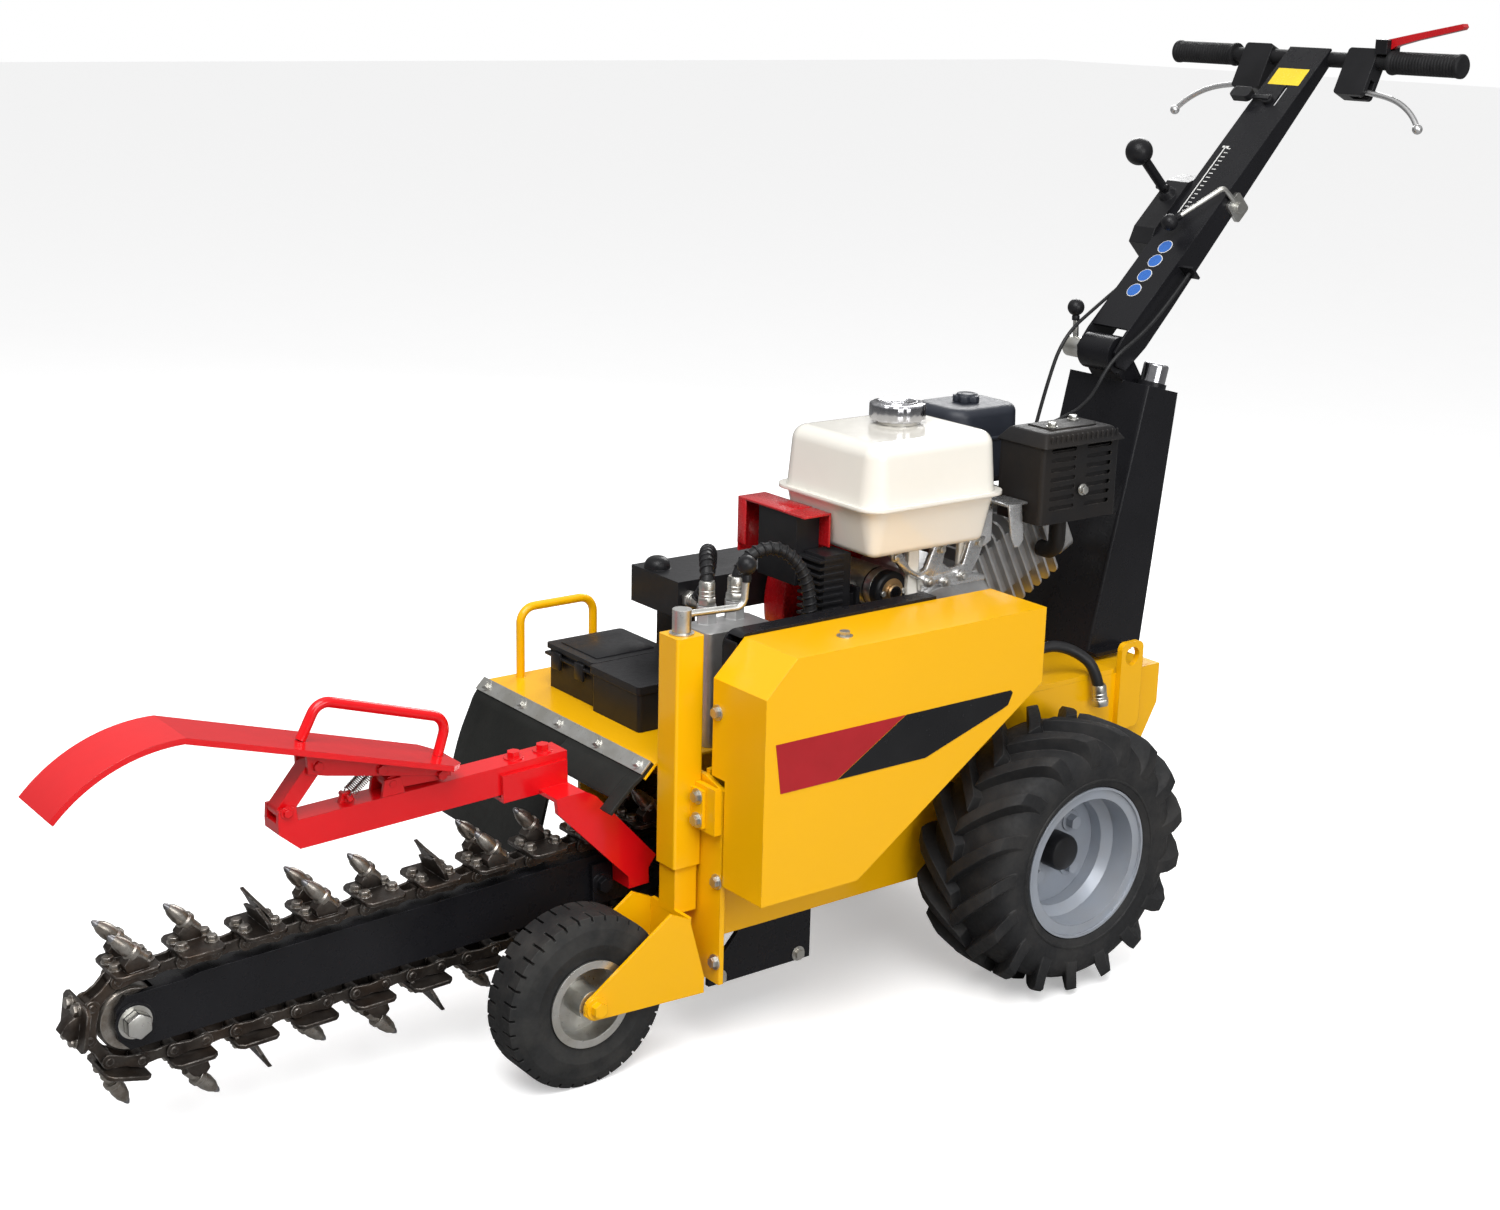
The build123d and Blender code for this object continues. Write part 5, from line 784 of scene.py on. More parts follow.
def build_chain():
    pins = chain_pins()
    pitch = (Vector(pins[1]) - Vector(pins[0])).length
    models = (link_model("outer_link", pitch, True), link_model("inner_link", pitch, False))
    copies = []
    for index, start in enumerate(pins):
        end = pins[(index + 1) % len(pins)]
        copies.append(copied(models[index % 2], link_matrix(start, end)))
    chain = joined("chain_links", copies)
    discard(*models)
    smooth(chain, 0.6)
    finished(chain, "boom", "chain_steel", ["digging_chain"])


def bullet_model():
    """A rotary bullet tooth that points up the Z axis, with its collar."""
    profile = [
        (0.0, -0.010), (0.0068, -0.010), (0.0068, 0.004), (0.0100, 0.004), (0.0100, 0.009),
        (0.0082, 0.0105), (0.0086, 0.018), (0.0070, 0.027), (0.0040, 0.033), (0.0, 0.033)]
    steel = turned("bullet", profile, 20)
    tip_profile = [(0.0, 0.0325), (0.0039, 0.0325), (0.0036, 0.035), (0.0016, 0.0385),
                   (0.0, 0.0392)]
    tip = turned("bullet_tip", tip_profile, 14)
    return steel, tip


def holder_model():
    """The welded block that carries one bullet, leaning forward."""
    outline = [(-0.017, 0, 0.0), (0.012, 0, 0.0), (0.015, 0, 0.012), (0.004, 0, 0.0235),
               (-0.008, 0, 0.0175), (-0.016, 0, 0.008)]
    body = plate("holder", [(x, -0.0095, z) for x, _, z in outline], (0, 0.019, 0))
    return rounded(body, 0.0014, 2)


def base_model():
    """The cutter plate with cut corners and its four bolt heads."""
    outline = [(-0.029, -0.033, 0), (-0.022, -0.040, 0), (0.022, -0.040, 0),
               (0.029, -0.033, 0), (0.029, 0.033, 0), (0.022, 0.040, 0), (-0.022, 0.040, 0),
               (-0.029, 0.033, 0)]
    base = plate("cutter_plate", outline, (0, 0, 0.006))
    rounded(base, 0.0008, 1)
    head = hex_head("cutter_bolt", 0.013, 0.0065)
    spots = [(-0.020, -0.012), (-0.020, 0.012), (0.020, -0.012), (0.020, 0.012)]
    heads = [copied(head, Matrix.Translation((x, y, 0.006))) for x, y in spots]
    discard(head)
    return base, heads


def scraper_model():
    """A thin raked blade with a swept top corner, across the plate."""
    outline = [(0, -0.030, 0.004), (0, 0.034, 0.004), (0, 0.040, 0.020), (0, 0.036, 0.044),
               (0, 0.022, 0.036), (0, -0.024, 0.026)]
    blade = plate("scraper", outline, (0.006, 0, 0))
    edit(blade)
    bpy.ops.mesh.subdivide(number_cuts=2)
    leave_edit()
    for vertex in blade.data.vertices:
        height = vertex.co.z - 0.004
        vertex.co.x += 0.35 * height - 0.010 + 3.0 * height * height
    rounded(blade, 0.0008, 1)
    return blade


def cutter_matrix(start, end):
    """Frame of a cutter plate: X along the travel, Z away from the bar."""
    travel = Vector((end[0] - start[0], 0, end[1] - start[1])).normalized()
    out = Vector((-travel.z, 0, travel.x))
    middle = Vector(((start[0] + end[0]) / 2, 0, (start[1] + end[1]) / 2))
    if (middle - Vector((BOOM_LENGTH / 2, 0, 0))).dot(out) < 0:
        out = -out
    side = out.cross(travel)
    return boom_matrix() @ basis(travel, side, out, middle + out * 0.0103)


def build_teeth():
    pins = chain_pins()
    pitch = (Vector(pins[1]) - Vector(pins[0])).length
    steel, tip = bullet_model()
    holder = holder_model()
    base, heads = base_model()
    blade = scraper_model()
    lean = aimed((0.66, 0, 0.75))
    larger = Matrix.Scale(1.22, 4)
    dark, bright, hard = [], [], []
    for station in range(0, len(pins) - 2, 2):
        kind = (station // 2) % 3
        start, end = pins[station], pins[station + 1]
        steep = abs(end[1] - start[1]) > pitch * 0.95
        if steep and start[0] < BOOM_LENGTH / 2:
            continue
        place = cutter_matrix(start, end)
        dark.append(copied(base, place))
        bright.extend(copied(head, place) for head in heads)
        if steep:
            dark.append(copied(holder, place @ Matrix.Translation((0.002, 0.012, 0.0055))))
            continue
        if kind == 2:
            dark.append(copied(blade, place))
            dark.append(copied(blade, place @ Matrix.Scale(-1, 4, (0, 1, 0))
                               @ Matrix.Translation((-0.016, 0.012, -0.006))))
            continue
        for row in ((-0.014,) if kind == 0 else (-0.026, 0.026)):
            dark.append(copied(holder, place @ Matrix.Translation((0.002, row, 0.0055))))
            seat = place @ Matrix.Translation((-0.003, row, 0.0235)) @ lean @ larger
            bright.append(copied(steel, seat))
            hard.append(copied(tip, seat))
    discard(steel, tip, holder, base, blade, *heads)
    plates = smooth(joined("cutter_plates", dark), 0.5)
    bullets = smooth(joined("bullet_teeth", bright), 0.5)
    tips = smooth(joined("carbide_tips", hard), 0.5)
    finished(plates, "boom", "chain_steel", ["cutter_teeth"])
    finished(bullets, "boom", "tooth_steel")
    finished(tips, "boom", "carbide")


def build_springs():
    """Two close-wound tension springs with a hook at each end."""
    low = boom_place(563.7, 214.0)
    high = boom_place(520.4, 246.0)
    run = high - low
    length = run.length
    wire = sizes().spring_wire
    coil = 0.0044
    pieces = []
    for y in (-0.0085, 0.0085):
        turns = 14
        points = [(0, 0, 0.002), (0.002, 0, 0.004)]
        for index in range(turns * 8 + 1):
            angle = FULL_TURN * index / 8
            height = 0.008 + (length - 0.016) * index / (turns * 8)
            points.append((coil * math.cos(angle), coil * math.sin(angle), height))
        points += [(0.002, 0, length - 0.004), (0, 0, length - 0.002)]
        spring = as_mesh(nurbs("crumber_coil", points, wire / 2, 2))
        spring.data.transform(aimed(run, low + Vector((0, y, 0))))
        pieces.append(spring)
    springs = joined("coil_springs", pieces)
    finished(springs, "boom", "tooth_steel", ["crumber_springs"])


# ---------------------------------------------------------------- hoses and cables


def hose_routes():
    """The two pressure hoses and the suction hose, as the frame has them."""
    first = [ahead(488, 56, 605.3), ahead(488, 56, 647), ahead(458, 10, 671),
             ahead(410, -40, 645), ahead(400, -76, 560), ahead(400, -110.7, 560)]
    second = [ahead(440, 56, 605.3), ahead(440, 56, 657), ahead(388, 76, 685),
              ahead(348, 100, 645), ahead(342, 108, 565), ahead(346, 104, 485),
              ahead(346, 104, 414.3)]
    suction = [ahead(-60, 128, 418.3), ahead(-60, 128, 452), ahead(-104, 136, 470),
               ahead(-146, 152, 458), ahead(-170, 181, 430), ahead(-178, 184, 372)]
    return first, second, suction


def crimp_fitting(name, place, heading, reach=0.034):
    """Crimped sleeve and union nut at a hose end."""
    matrix = aimed(heading, place)
    profile = [(0.0, 0.0), (0.0098, 0.0), (0.0098, 0.010), (0.0112, 0.0105),
               (0.0112, 0.014), (0.0104, 0.015), (0.0112, 0.016), (0.0112, 0.020),
               (0.0104, 0.021), (0.0112, 0.022), (0.0112, reach - 0.003),
               (0.0098, reach), (0.0, reach)]
    sleeve = turned(name, profile, 24)
    nut = hex_head(name + "_nut", 0.0235, 0.011, washer=False)
    fitting = joined(name, [sleeve, nut])
    fitting.data.transform(matrix)
    return fitting


def build_hoses():
    radius = sizes().hose_radius
    tubes, wraps, fittings = [], [], []
    for index, route in enumerate(hose_routes()):
        curve = nurbs(f"hose_{index}", route, radius, 5)
        points = line_points(curve)
        if index < 2:
            inner = points[5:-5]
            wrap = nurbs(f"hose_wrap_{index}", helix_round(inner, radius + 0.0004, 0.0105),
                         0.0019, 2)
            wraps.append(as_mesh(wrap))
        tubes.append(as_mesh(curve))
        last = points[-1]
        fittings.append(crimp_fitting("hose_fitting", points[0], points[1] - points[0]))
        fittings.append(crimp_fitting("hose_fitting", last, points[-2] - last))
    hoses = joined("pressure_hoses", tubes)
    finished(hoses, "chassis", "hose_rubber", ["hydraulic_hoses"])
    guard = joined("hose_spiral_guard", wraps)
    finished(guard, "chassis", "black_plastic")
    ends = smooth(joined("hose_fittings", fittings), 0.5)
    finished(ends, "chassis", "zinc_plate")


def cable_routes():
    left = [handle_place(171.7, 4, 58), handle_place(120, 4, 59), handle_place(44, 8, 57),
            handle_place(-30, 26, 50), ahead(-262, 36, 812), ahead(-222, -6, 776),
            ahead(-186, -36, 762), ahead(-147.8, -40, 760)]
    right = [handle_place(204, -2, -51), handle_place(140, 6, -50), handle_place(70, 26, -49),
             ahead(-282, -49, 905), ahead(-258, -58, 820), ahead(-228, -62, 700),
             ahead(-210, -61, 560), ahead(-208, -60, 418.3)]
    return left, right


def build_cables():
    """Control cables from the handle's pivot to their lower ends."""
    pieces = []
    for route in cable_routes():
        pieces.append(as_mesh(nurbs("cable", route, sizes().cable_radius, 3)))
    cables = joined("bowden_cables", pieces)
    cables.data.materials.clear()
    cables.data.materials.append(finishes["hose_rubber"])
    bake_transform(cables)
    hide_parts("control_cables")


# ---------------------------------------------------------------- flap and wheels


def flap_piece(name, y_low, y_high, drop, rows=8):
    """A hanging rubber sheet that curves away from the strip and down."""
    slope = math.sqrt(0.5)
    top = ahead(612 + 1.2, 0, 414.3 - 0.8)
    lip = 0.028 * slope
    start = Vector((top.x + lip * 0.05, 0, top.z))
    route = [start, start + Vector((lip, 0, -lip))] + [ahead(x, 0, z) for x, z in drop]
    smooth_route = line_points(nurbs_line(route))
    piece = drawn(name, [(p.x, y_low / 1000, p.z) for p in smooth_route])
    edit(piece)
    width = (y_high - y_low) / 1000 / rows
    for _ in range(rows):
        bpy.ops.mesh.extrude_region_move(TRANSFORM_OT_translate={"value": (0, width, 0)})
    leave_edit()
    return piece


def nurbs_line(points):
    curve = nurbs("route", points, 0.0)
    curve.data.resolution_u = 6
    return curve


def build_flap():
    long_drop = [(640, 378), (660, 335), (674, 285), (684, 240), (690, 216)]
    short_drop = [(643, 388), (656, 376), (666, 366)]
    tab_drop = [(645, 388), (664, 370), (682, 353)]
    parts = [flap_piece("flap_long", -327, -70, long_drop),
             flap_piece("flap_short", -70, 90, short_drop, 6),
             flap_piece("flap_tab", 90, 114, tab_drop, 2)]
    flap = joined("rubber_apron", parts)
    for route in [o for o in bpy.data.objects if o.name.startswith("route")]:
        discard(route)
    edit(flap)
    bpy.ops.mesh.remove_doubles(threshold=0.0002)
    bpy.ops.mesh.normals_make_consistent(inside=False)
    leave_edit()
    normal = flap.data.polygons[0].normal
    if normal.x + normal.z < 0:
        flap.data.flip_normals()
    modified(flap, "SOLIDIFY", thickness=sizes().flap_sheet * 0.9, offset=1.0)
    rounded(flap, 0.001, 2, 0.9)
    smooth(flap, 0.7)
    finished(flap, "chassis", "flap_rubber", ["rubber_flap"])


# ---------------------------------------------------------------- drive tyres and hubs


def tyre_carcass(name):
    """Round tyre body about the Z axis with a ribbed sidewall and rounded shoulders."""
    half = [(0.1020, 0.0667), (0.1166, 0.0667), (0.1176, 0.0745), (0.1235, 0.0775),
            (0.1270, 0.0790), (0.1278, 0.0808), (0.1300, 0.0808), (0.1308, 0.0796),
            (0.1400, 0.0812), (0.1500, 0.0814), (0.1620, 0.0790), (0.1730, 0.0730),
            (0.1815, 0.0620), (0.1865, 0.0460), (0.1888, 0.0250), (0.1895, 0.0)]
    inside = [(0.1800, 0.0520), (0.1680, 0.0690), (0.1470, 0.0725), (0.1240, 0.0577),
              (0.1020, 0.0577)]
    profile = half + [(r, -y) for r, y in half[-2::-1]]
    profile += [(r, -y) for r, y in inside[::-1]] + inside + [half[0]]
    return turned(name, profile, 72)


def lug_model(name):
    """One curved lug about the Z axis: nearly along the tread, then across the shoulder."""
    foot = [(-0.0060, 0.1880), (0.0200, 0.1878), (0.0430, 0.1858), (0.0610, 0.1805),
            (0.0722, 0.1720), (0.0778, 0.1600), (0.0795, 0.1480)]
    top = [(-0.0045, 0.2060), (0.0200, 0.2060), (0.0450, 0.2055), (0.0655, 0.2030),
           (0.0800, 0.1960), (0.0825, 0.1760), (0.0822, 0.1520)]
    steps = len(foot) - 1
    deselect()
    bpy.ops.mesh.primitive_cube_add(size=1.0)
    lug = active_named(name)
    edit(lug)
    bpy.ops.mesh.subdivide(number_cuts=steps * 2 - 1)
    leave_edit()
    for vertex in lug.data.vertices:
        across, along, rise = vertex.co.x, vertex.co.y + 0.5, vertex.co.z + 0.5
        index = min(int(along * steps), steps - 1)
        part = along * steps - index
        low = [a + (b - a) * part for a, b in zip(foot[index], foot[index + 1])]
        high = [a + (b - a) * part for a, b in zip(top[index], top[index + 1])]
        axial, radius = (a + (b - a) * rise for a, b in zip(low, high))
        width = (0.030 - 0.006 * along) * (1.0 - 0.22 * rise)
        angle = 0.44 * (1.0 - (1.0 - along) ** 1.8) + across * width / radius
        vertex.co = (radius * math.cos(angle), -radius * math.sin(angle), axial)
    clean(lug)
    return rounded(lug, 0.0016, 2, 0.7)


def build_tyres():
    """Drive tyres: both halves carry staggered lugs that point the same way round."""
    count = sizes().lugs
    for side, name in SIDES:
        parts = [tyre_carcass(name + "_carcass")]
        lug = lug_model("lug")
        for index in range(count):
            turn = Matrix.Rotation(FULL_TURN * index / count, 4, "Z")
            shift = Matrix.Rotation(FULL_TURN * (index + 0.5) / count, 4, "Z")
            parts.append(copied(lug, turn))
            parts.append(copied(lug, shift @ Matrix.Scale(-1, 4, (0, 0, 1))))
        discard(lug)
        tyre = joined(name + "_drive_tyre", parts)
        upright = Matrix.Rotation(-math.pi / 2, 4, "X")
        centre = ahead(0, side * TRACK_HALF, TYRE_RADIUS)
        tyre.data.transform(Matrix.Translation(centre) @ upright)
        smooth(tyre, 0.6)
        finished(tyre, name + "_drive_wheel", "tyre_rubber", [name + "_tyre"])


def build_hubs():
    """Black covers over the wheel hubs."""
    profile = [(0.0, 0.2622), (0.0300, 0.2622), (0.0300, 0.2650), (0.0278, 0.2668),
               (0.0278, 0.2960), (0.0255, 0.3005), (0.0190, 0.3032), (0.0, 0.3038)]
    for side, name in SIDES:
        cover = turned(name + "_hub_cover", profile, 36)
        cover.data.transform(aimed((0, side, 0), ahead(0, 0, TYRE_RADIUS)))
        finished(smooth(cover, 0.6), name + "_drive_wheel", "black_plastic")


def box_rim(name, node, level, proud, height):
    """A thin flange round a moulded box at a share of its height."""
    low, high = (Vector(corner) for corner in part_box(node))
    z = low.z + (high.z - low.z) * level
    rim = block(name, (low.x - proud, low.y - proud, z),
                (high.x + proud, high.y + proud, z + height))
    return smooth(rounded(rim, height * 0.3, 2), 0.6)


def build_boxes():
    """Flange, raised panel and catches of the battery box."""
    battery_high = Vector(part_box("battery")[1])
    flange = box_rim("battery_flange", "battery", 0.72, 0.0016, 0.0050)
    panel = block("battery_panel", battery_high - Vector((0.118, 0.112, 0.002)),
                  battery_high + Vector((-0.016, -0.016, 0.0016)))
    rounded(panel, 0.0012, 2)
    catches = []
    for y in (-0.222, -0.160):
        catch = block("battery_catch", (battery_high.x - 0.001, y - 0.011, 0.448),
                      (battery_high.x + 0.0045, y + 0.011, 0.474))
        catches.append(rounded(catch, 0.0015, 2))
    finished(smooth(joined("battery_trim", [flange, panel, *catches]), 0.6), "chassis",
             "black_plastic")


# ---------------------------------------------------------------- engine detail


def fluted_cap(name, radius, height, flutes, depth):
    """A round cap with scalloped sides and a raised, dished top."""
    outline = []
    count = flutes * 6
    for index in range(count):
        angle = FULL_TURN * index / count
        reach = radius - depth * (0.5 + 0.5 * math.cos(angle * flutes)) ** 3
        outline.append((reach * math.cos(angle), reach * math.sin(angle), 0.0))
    body = plate(name, outline, (0, 0, height))
    rounded(body, height * 0.14, 3, 0.9)
    dish = [(0.0, 0.0012), (radius * 0.52, 0.0012), (radius * 0.60, 0.0026),
            (radius * 0.70, 0.0026), (radius * 0.76, -0.0005), (0.0, -0.0005)]
    top = turned(name + "_top", dish, 48)
    top.data.transform(Matrix.Translation((0, 0, height)))
    return smooth(joined(name, [body, top]), 0.7)


def build_caps():
    fuel = fluted_cap("fuel_cap_chrome", 0.0415, 0.0255, 12, 0.0022)
    fuel.data.transform(Matrix.Translation(ahead(132, 32, 826.3)))
    finished(fuel, "filler_cap", "polished_chrome", ["fuel_cap"])


def build_starter():
    """Starter motor can, its bronze end bell and two screws."""
    can_profile = [(0.0, 0.0), (0.0302, 0.0), (0.0302, 0.094), (0.0290, 0.096),
                   (0.0302, 0.098), (0.0302, 0.112), (0.0, 0.112)]
    can = turned("starter_can", can_profile, 40)
    bell_profile = [(0.0, 0.112), (0.0285, 0.112), (0.0285, 0.121), (0.0240, 0.128),
                    (0.0120, 0.1295), (0.0120, 0.134), (0.0085, 0.1365), (0.0, 0.1365)]
    bell = turned("starter_bell", bell_profile, 40)
    head = hex_head("starter_screw", 0.008, 0.004, washer=False)
    screws = joined("starter_screws", [
        copied(head, Matrix.Translation((across, 0.0, 0.1285))) for across in (0.019, -0.019)])
    discard(head)
    for piece in (can, bell, screws):
        piece.data.transform(aimed(LEFTWARD, ahead(190, -24.5, 590)))
        smooth(piece, 0.6)
    finished(can, "chassis", "zinc_plate")
    finished(bell, "chassis", "bronze")
    finished(screws, "chassis", "zinc_plate")


def build_tank_bracket():
    """Cast bracket that carries the tank, with its bolts, and the bent exhaust strap."""
    outline = [(216, 655), (192, 655), (172, 626), (156, 616), (142, 622), (128, 655),
               (104, 655), (110, 626), (96, 616), (70, 618), (58, 655), (26, 655), (40, 622),
               (52, 604), (24, 596), (24, 588), (150, 588), (152, 606), (182, 622)]
    casting = plate("tank_bracket", [ahead(x, 112.4, z) for x, z in outline], (0, 0.010, 0))
    rounded(casting, 0.0022, 2)
    rib = plate("bracket_rib", [ahead(x, 119, z) for x, z in (
        (148, 600), (140, 596), (60, 596), (52, 602), (60, 608), (140, 608))], (0, 0.010, 0))
    rounded(rib, 0.002, 2)
    boss_places = ((144, 604), (112, 600), (78, 604))
    bosses = []
    for x, z in boss_places:
        bosses.append(rounded(cylinder(
            "bracket_boss", 0.0085, ahead(x, 118, z), ahead(x, 131, z), 20), 0.0015, 2))
    bracket = smooth(joined("tank_bracket", [casting, rib, *bosses]), 0.6)
    finished(bracket, "chassis", "bright_alloy")
    head = hex_head("bracket_bolt", 0.010, 0.005)
    places = [(x, 131, z) for x, z in boss_places]
    places += [(x, 122, 648) for x in (204, 116, 42)]
    bolts = [copied(head, aimed(LEFTWARD, ahead(*place))) for place in places]
    discard(head)
    finished(smooth(joined("bracket_bolts", bolts), 0.5), "chassis", "zinc_plate")
    strap = plate("exhaust_strap", [ahead(x, 96, z) for x, z in (
        (24, 655), (12, 706), (-30, 706), (-30, 694), (-6, 690), (-6, 640), (10, 632))],
        (0, 0.004, 0))
    tab = plate("strap_tab", [ahead(x, 96, z) for x, z in (
        (12, 706), (-30, 706), (-30, 702), (12, 702))], (0, 0.052, 0))
    leg = plate("strap_leg", [ahead(x, 148, z) for x, z in (
        (12, 706), (-14, 706), (-22, 650), (-14, 640), (-4, 640), (4, 656))], (0, 0.004, 0))
    whole = joined("exhaust_strap", [strap, tab, leg])
    rounded(whole, 0.0012, 2)
    finished(smooth(whole, 0.6), "chassis", "bright_alloy")


def build_muffler_lid():
    """Pressed lid of the exhaust guard with a chamfered rim, and the guard's screws."""
    lid = block("muffler_lid", ahead(-199, 70.5, 788), ahead(-29, 179.5, 809))
    chamfer = 0.016
    middle = ahead(-114, 125, 798)
    for vertex in lid.data.vertices:
        if vertex.co.z > middle.z:
            vertex.co.x += chamfer if vertex.co.x < middle.x else -chamfer
            vertex.co.y += chamfer if vertex.co.y < middle.y else -chamfer
    rounded(lid, 0.004, 3)
    raised = block("muffler_lid_top", ahead(-160, 98, 808), ahead(-68, 152, 811.5))
    rounded(raised, 0.0032, 3)
    ribs = []
    for index in range(14):
        start = -184 + index * 10.4
        rib = block("lid_rib", ahead(start, 171.5, 790), ahead(start + 3.5, 175.5, 806))
        ribs.append(rounded(rib, 0.0012, 1))
    shell = smooth(joined("muffler_lid", [lid, raised]), 0.5)
    finished(shell, "chassis", "heat_black")
    finished(smooth(joined("muffler_lid_ribs", ribs), 0.5), "chassis", "heat_black")
    head = hex_head("muffler_bolt", 0.012, 0.006)
    bolts = [copied(head, aimed(LEFTWARD, ahead(-114, 175.2, 720))),
             copied(head, aimed(UPWARD, ahead(-150, 112, 811.3))),
             copied(head, aimed(UPWARD, ahead(-80, 138, 811.3)))]
    discard(head)
    finished(smooth(joined("muffler_bolts", bolts), 0.5), "chassis", "zinc_plate")


def build_filter_knob():
    """Raised rim and lobed wing knob of the air filter cover."""
    knob = fluted_cap("filter_knob", 0.021, 0.011, 5, 0.006)
    knob.data.transform(Matrix.Translation(ahead(-76, -46, 819.5)))
    rim = block("filter_rim", ahead(-149.5, -106.5, 768), ahead(-2.5, 14.5, 775))
    rounded(rim, 0.0034, 3)
    finished(smooth(joined("filter_trim", [knob, rim]), 0.6), "chassis", "filter_plastic")


def build_hood():
    """Side walls of the red hood round the switch box."""
    walls = [block("hood_side", ahead(277, -91, 628), ahead(327, -87.6, 710.5)),
             block("hood_front", ahead(324, -91, 640), ahead(327.5, -72, 710.5)),
             block("hood_top", ahead(276.5, -91, 707.6), ahead(327.5, 20, 711))]
    for wall in walls:
        rounded(wall, 0.0015, 2)
    finished(smooth(joined("hood_walls", walls), 0.6), "chassis", "red_plastic")


# ---------------------------------------------------------------- knobs, grips and plates


def knob(name, centre, direction, radius, reach):
    """A ball knob with a collar that grips its stem."""
    profile = []
    for index in range(15):
        angle = math.pi * index / 16
        profile.append((radius * math.sin(angle), radius * math.cos(angle)))
    profile += [(radius * 0.46, -radius * 1.05), (radius * 0.46, -radius * reach),
                (0.0, -radius * reach)]
    piece = turned(name, profile, 32)
    piece.data.transform(aimed(direction, centre))
    return smooth(piece, 0.8)


def build_knobs():
    side_centre = handle_place(230, 51, 1)
    side_stem = side_centre - handle_place(318, 42, 47)
    for name, body, centre, direction, reach in (
            ("crank_knob", "crank", ahead(493, 152, 684.3), UPWARD, 1.7),
            ("clamp_knob", "tilt_clamp", ahead(-324.1, -66.3, 946), (0.06, 0, 1), 1.5),
            ("side_knob", "handle_side_lever", side_centre, side_stem, 1.5)):
        piece = knob(name, centre, direction, sizes().knob_radius, reach)
        finished(piece, body, "black_plastic")


def build_grips():
    """Ribbed grip sleeves with a bead at each end."""
    bar = handle_place(BAR_ALONG, 7)
    profile = [(0.0126, 0.0), (0.0190, 0.0), (0.0195, 0.003), (0.0190, 0.006)]
    for index in range(20):
        low = 0.0085 + index * 0.0058
        profile += [(0.0172, low), (0.0180, low + 0.0012), (0.0180, low + 0.0036),
                    (0.0172, low + 0.0048)]
    profile += [(0.0190, 0.1265), (0.0190, 0.1315), (0.0165, 0.1338), (0.0, 0.1338)]
    grips = []
    for side in (-1, 1):
        grip = turned("grip", profile, 32)
        grip.data.transform(aimed((0, side, 0), bar + Vector((0, side * 0.1592, 0))))
        grips.append(grip)
    finished(smooth(joined("grip_sleeves", grips), 0.5), "handle", "grip_rubber")


def film(name, corners, normal, thickness=0.0006):
    """A thin plate laid on a face."""
    return plate(name, corners, Vector(normal) * thickness)


def handle_tag(name, low, high, right, left):
    """A thin rectangle on the upper face of the handle."""
    out = handle_place(0, 1) - handle_place(0, 0)
    corners = ((low, right), (high, right), (high, left), (low, left))
    return film(name, [handle_place(along, HANDLE_FACE, y) for along, y in corners], out)


def handle_disc(name, along, radius, thickness):
    """A thin disc on the upper face of the handle."""
    disc = turned(name, [(0.0, 0.0), (radius, 0.0), (radius, thickness), (0.0, thickness)], 32)
    out = handle_place(0, 1) - handle_place(0, 0)
    disc.data.transform(aimed(out, handle_place(along, HANDLE_FACE, -3)))
    return disc


def build_plates():
    """Blank film: the two-colour band on the belt cover and the plates on the handle."""
    bands = (("band_dark", "black_film", "black_plastic",
              ((323, 482), (128, 482), (124, 478), (132, 461), (142, 457), (285, 412),
               (441, 412))),
             ("band_red", "red_film", "red_plastic",
              ((548, 482), (325, 482), (443, 412), (538, 412))))
    for name, finish_name, slot_name, outline in bands:
        band = film(name, [ahead(x, COVER_FACE, z) for x, z in outline], LEFTWARD)
        finished(band, "chassis", finish_name)
    pale = []
    discs = []
    for along in (201, 171, 140, 109):
        pale.append(handle_disc("disc_rim", along, 0.0130, 0.0006))
        discs.append(handle_disc("disc", along, 0.0118, 0.0009))
    finished(joined("blank_discs", discs), "handle", "blue_film")
    for low in (262, 414):
        pale.append(handle_tag("scale_end", low, low + 4, -33, -20))
    pale.append(handle_tag("scale_line", 262, 418, -28, -25.5))
    for index in range(17):
        low = 268 + index * 9
        pale.append(handle_tag("scale_tick", low, low + 1.6, -22, -14))
    finished(joined("pale_marks", pale), "handle", "pale_film")
    label = handle_tag("blank_label", 556, 592, -34, 30)
    finished(label, "handle", "yellow_film")


def build_bar_bolts():
    """Bright hex heads on both ends of the tip axle."""
    head = hex_head("tip_head", 0.0305, 0.0155)
    heads = [copied(head, aimed((0, side, 0), boom_place(BOOM_LENGTH * 1000, 0, side * 21.6)))
             for side, _ in SIDES]
    discard(head)
    finished(smooth(joined("axle_heads", heads), 0.5), "boom", "zinc_plate")


# ---------------------------------------------------------------- stage and carried finishes


def camera_matrix(stage):
    turn = stage.camera_turn
    high = stage.camera_height
    roll = stage.camera_roll
    right = Vector((math.cos(turn), math.sin(turn), 0))
    back = Vector((math.sin(turn) * math.cos(high), -math.cos(turn) * math.cos(high),
                   math.sin(high)))
    up = back.cross(right)
    tilted_right = right * math.cos(roll) + up * math.sin(roll)
    tilted_up = up * math.cos(roll) - right * math.sin(roll)
    return basis(tilted_right, tilted_up, back, stage.camera_place)


def area_light(name, place, target, size, power, colour=(1, 1, 1)):
    data = bpy.data.lights.new(name, "AREA")
    data.shape = "RECTANGLE"
    data.size = size[0]
    data.size_y = size[1]
    data.energy = power
    data.color = colour
    light = bpy.data.objects.new(name, data)
    bpy.context.scene.collection.objects.link(light)
    light.matrix_world = aimed(Vector(place) - Vector(target), place)
    return light


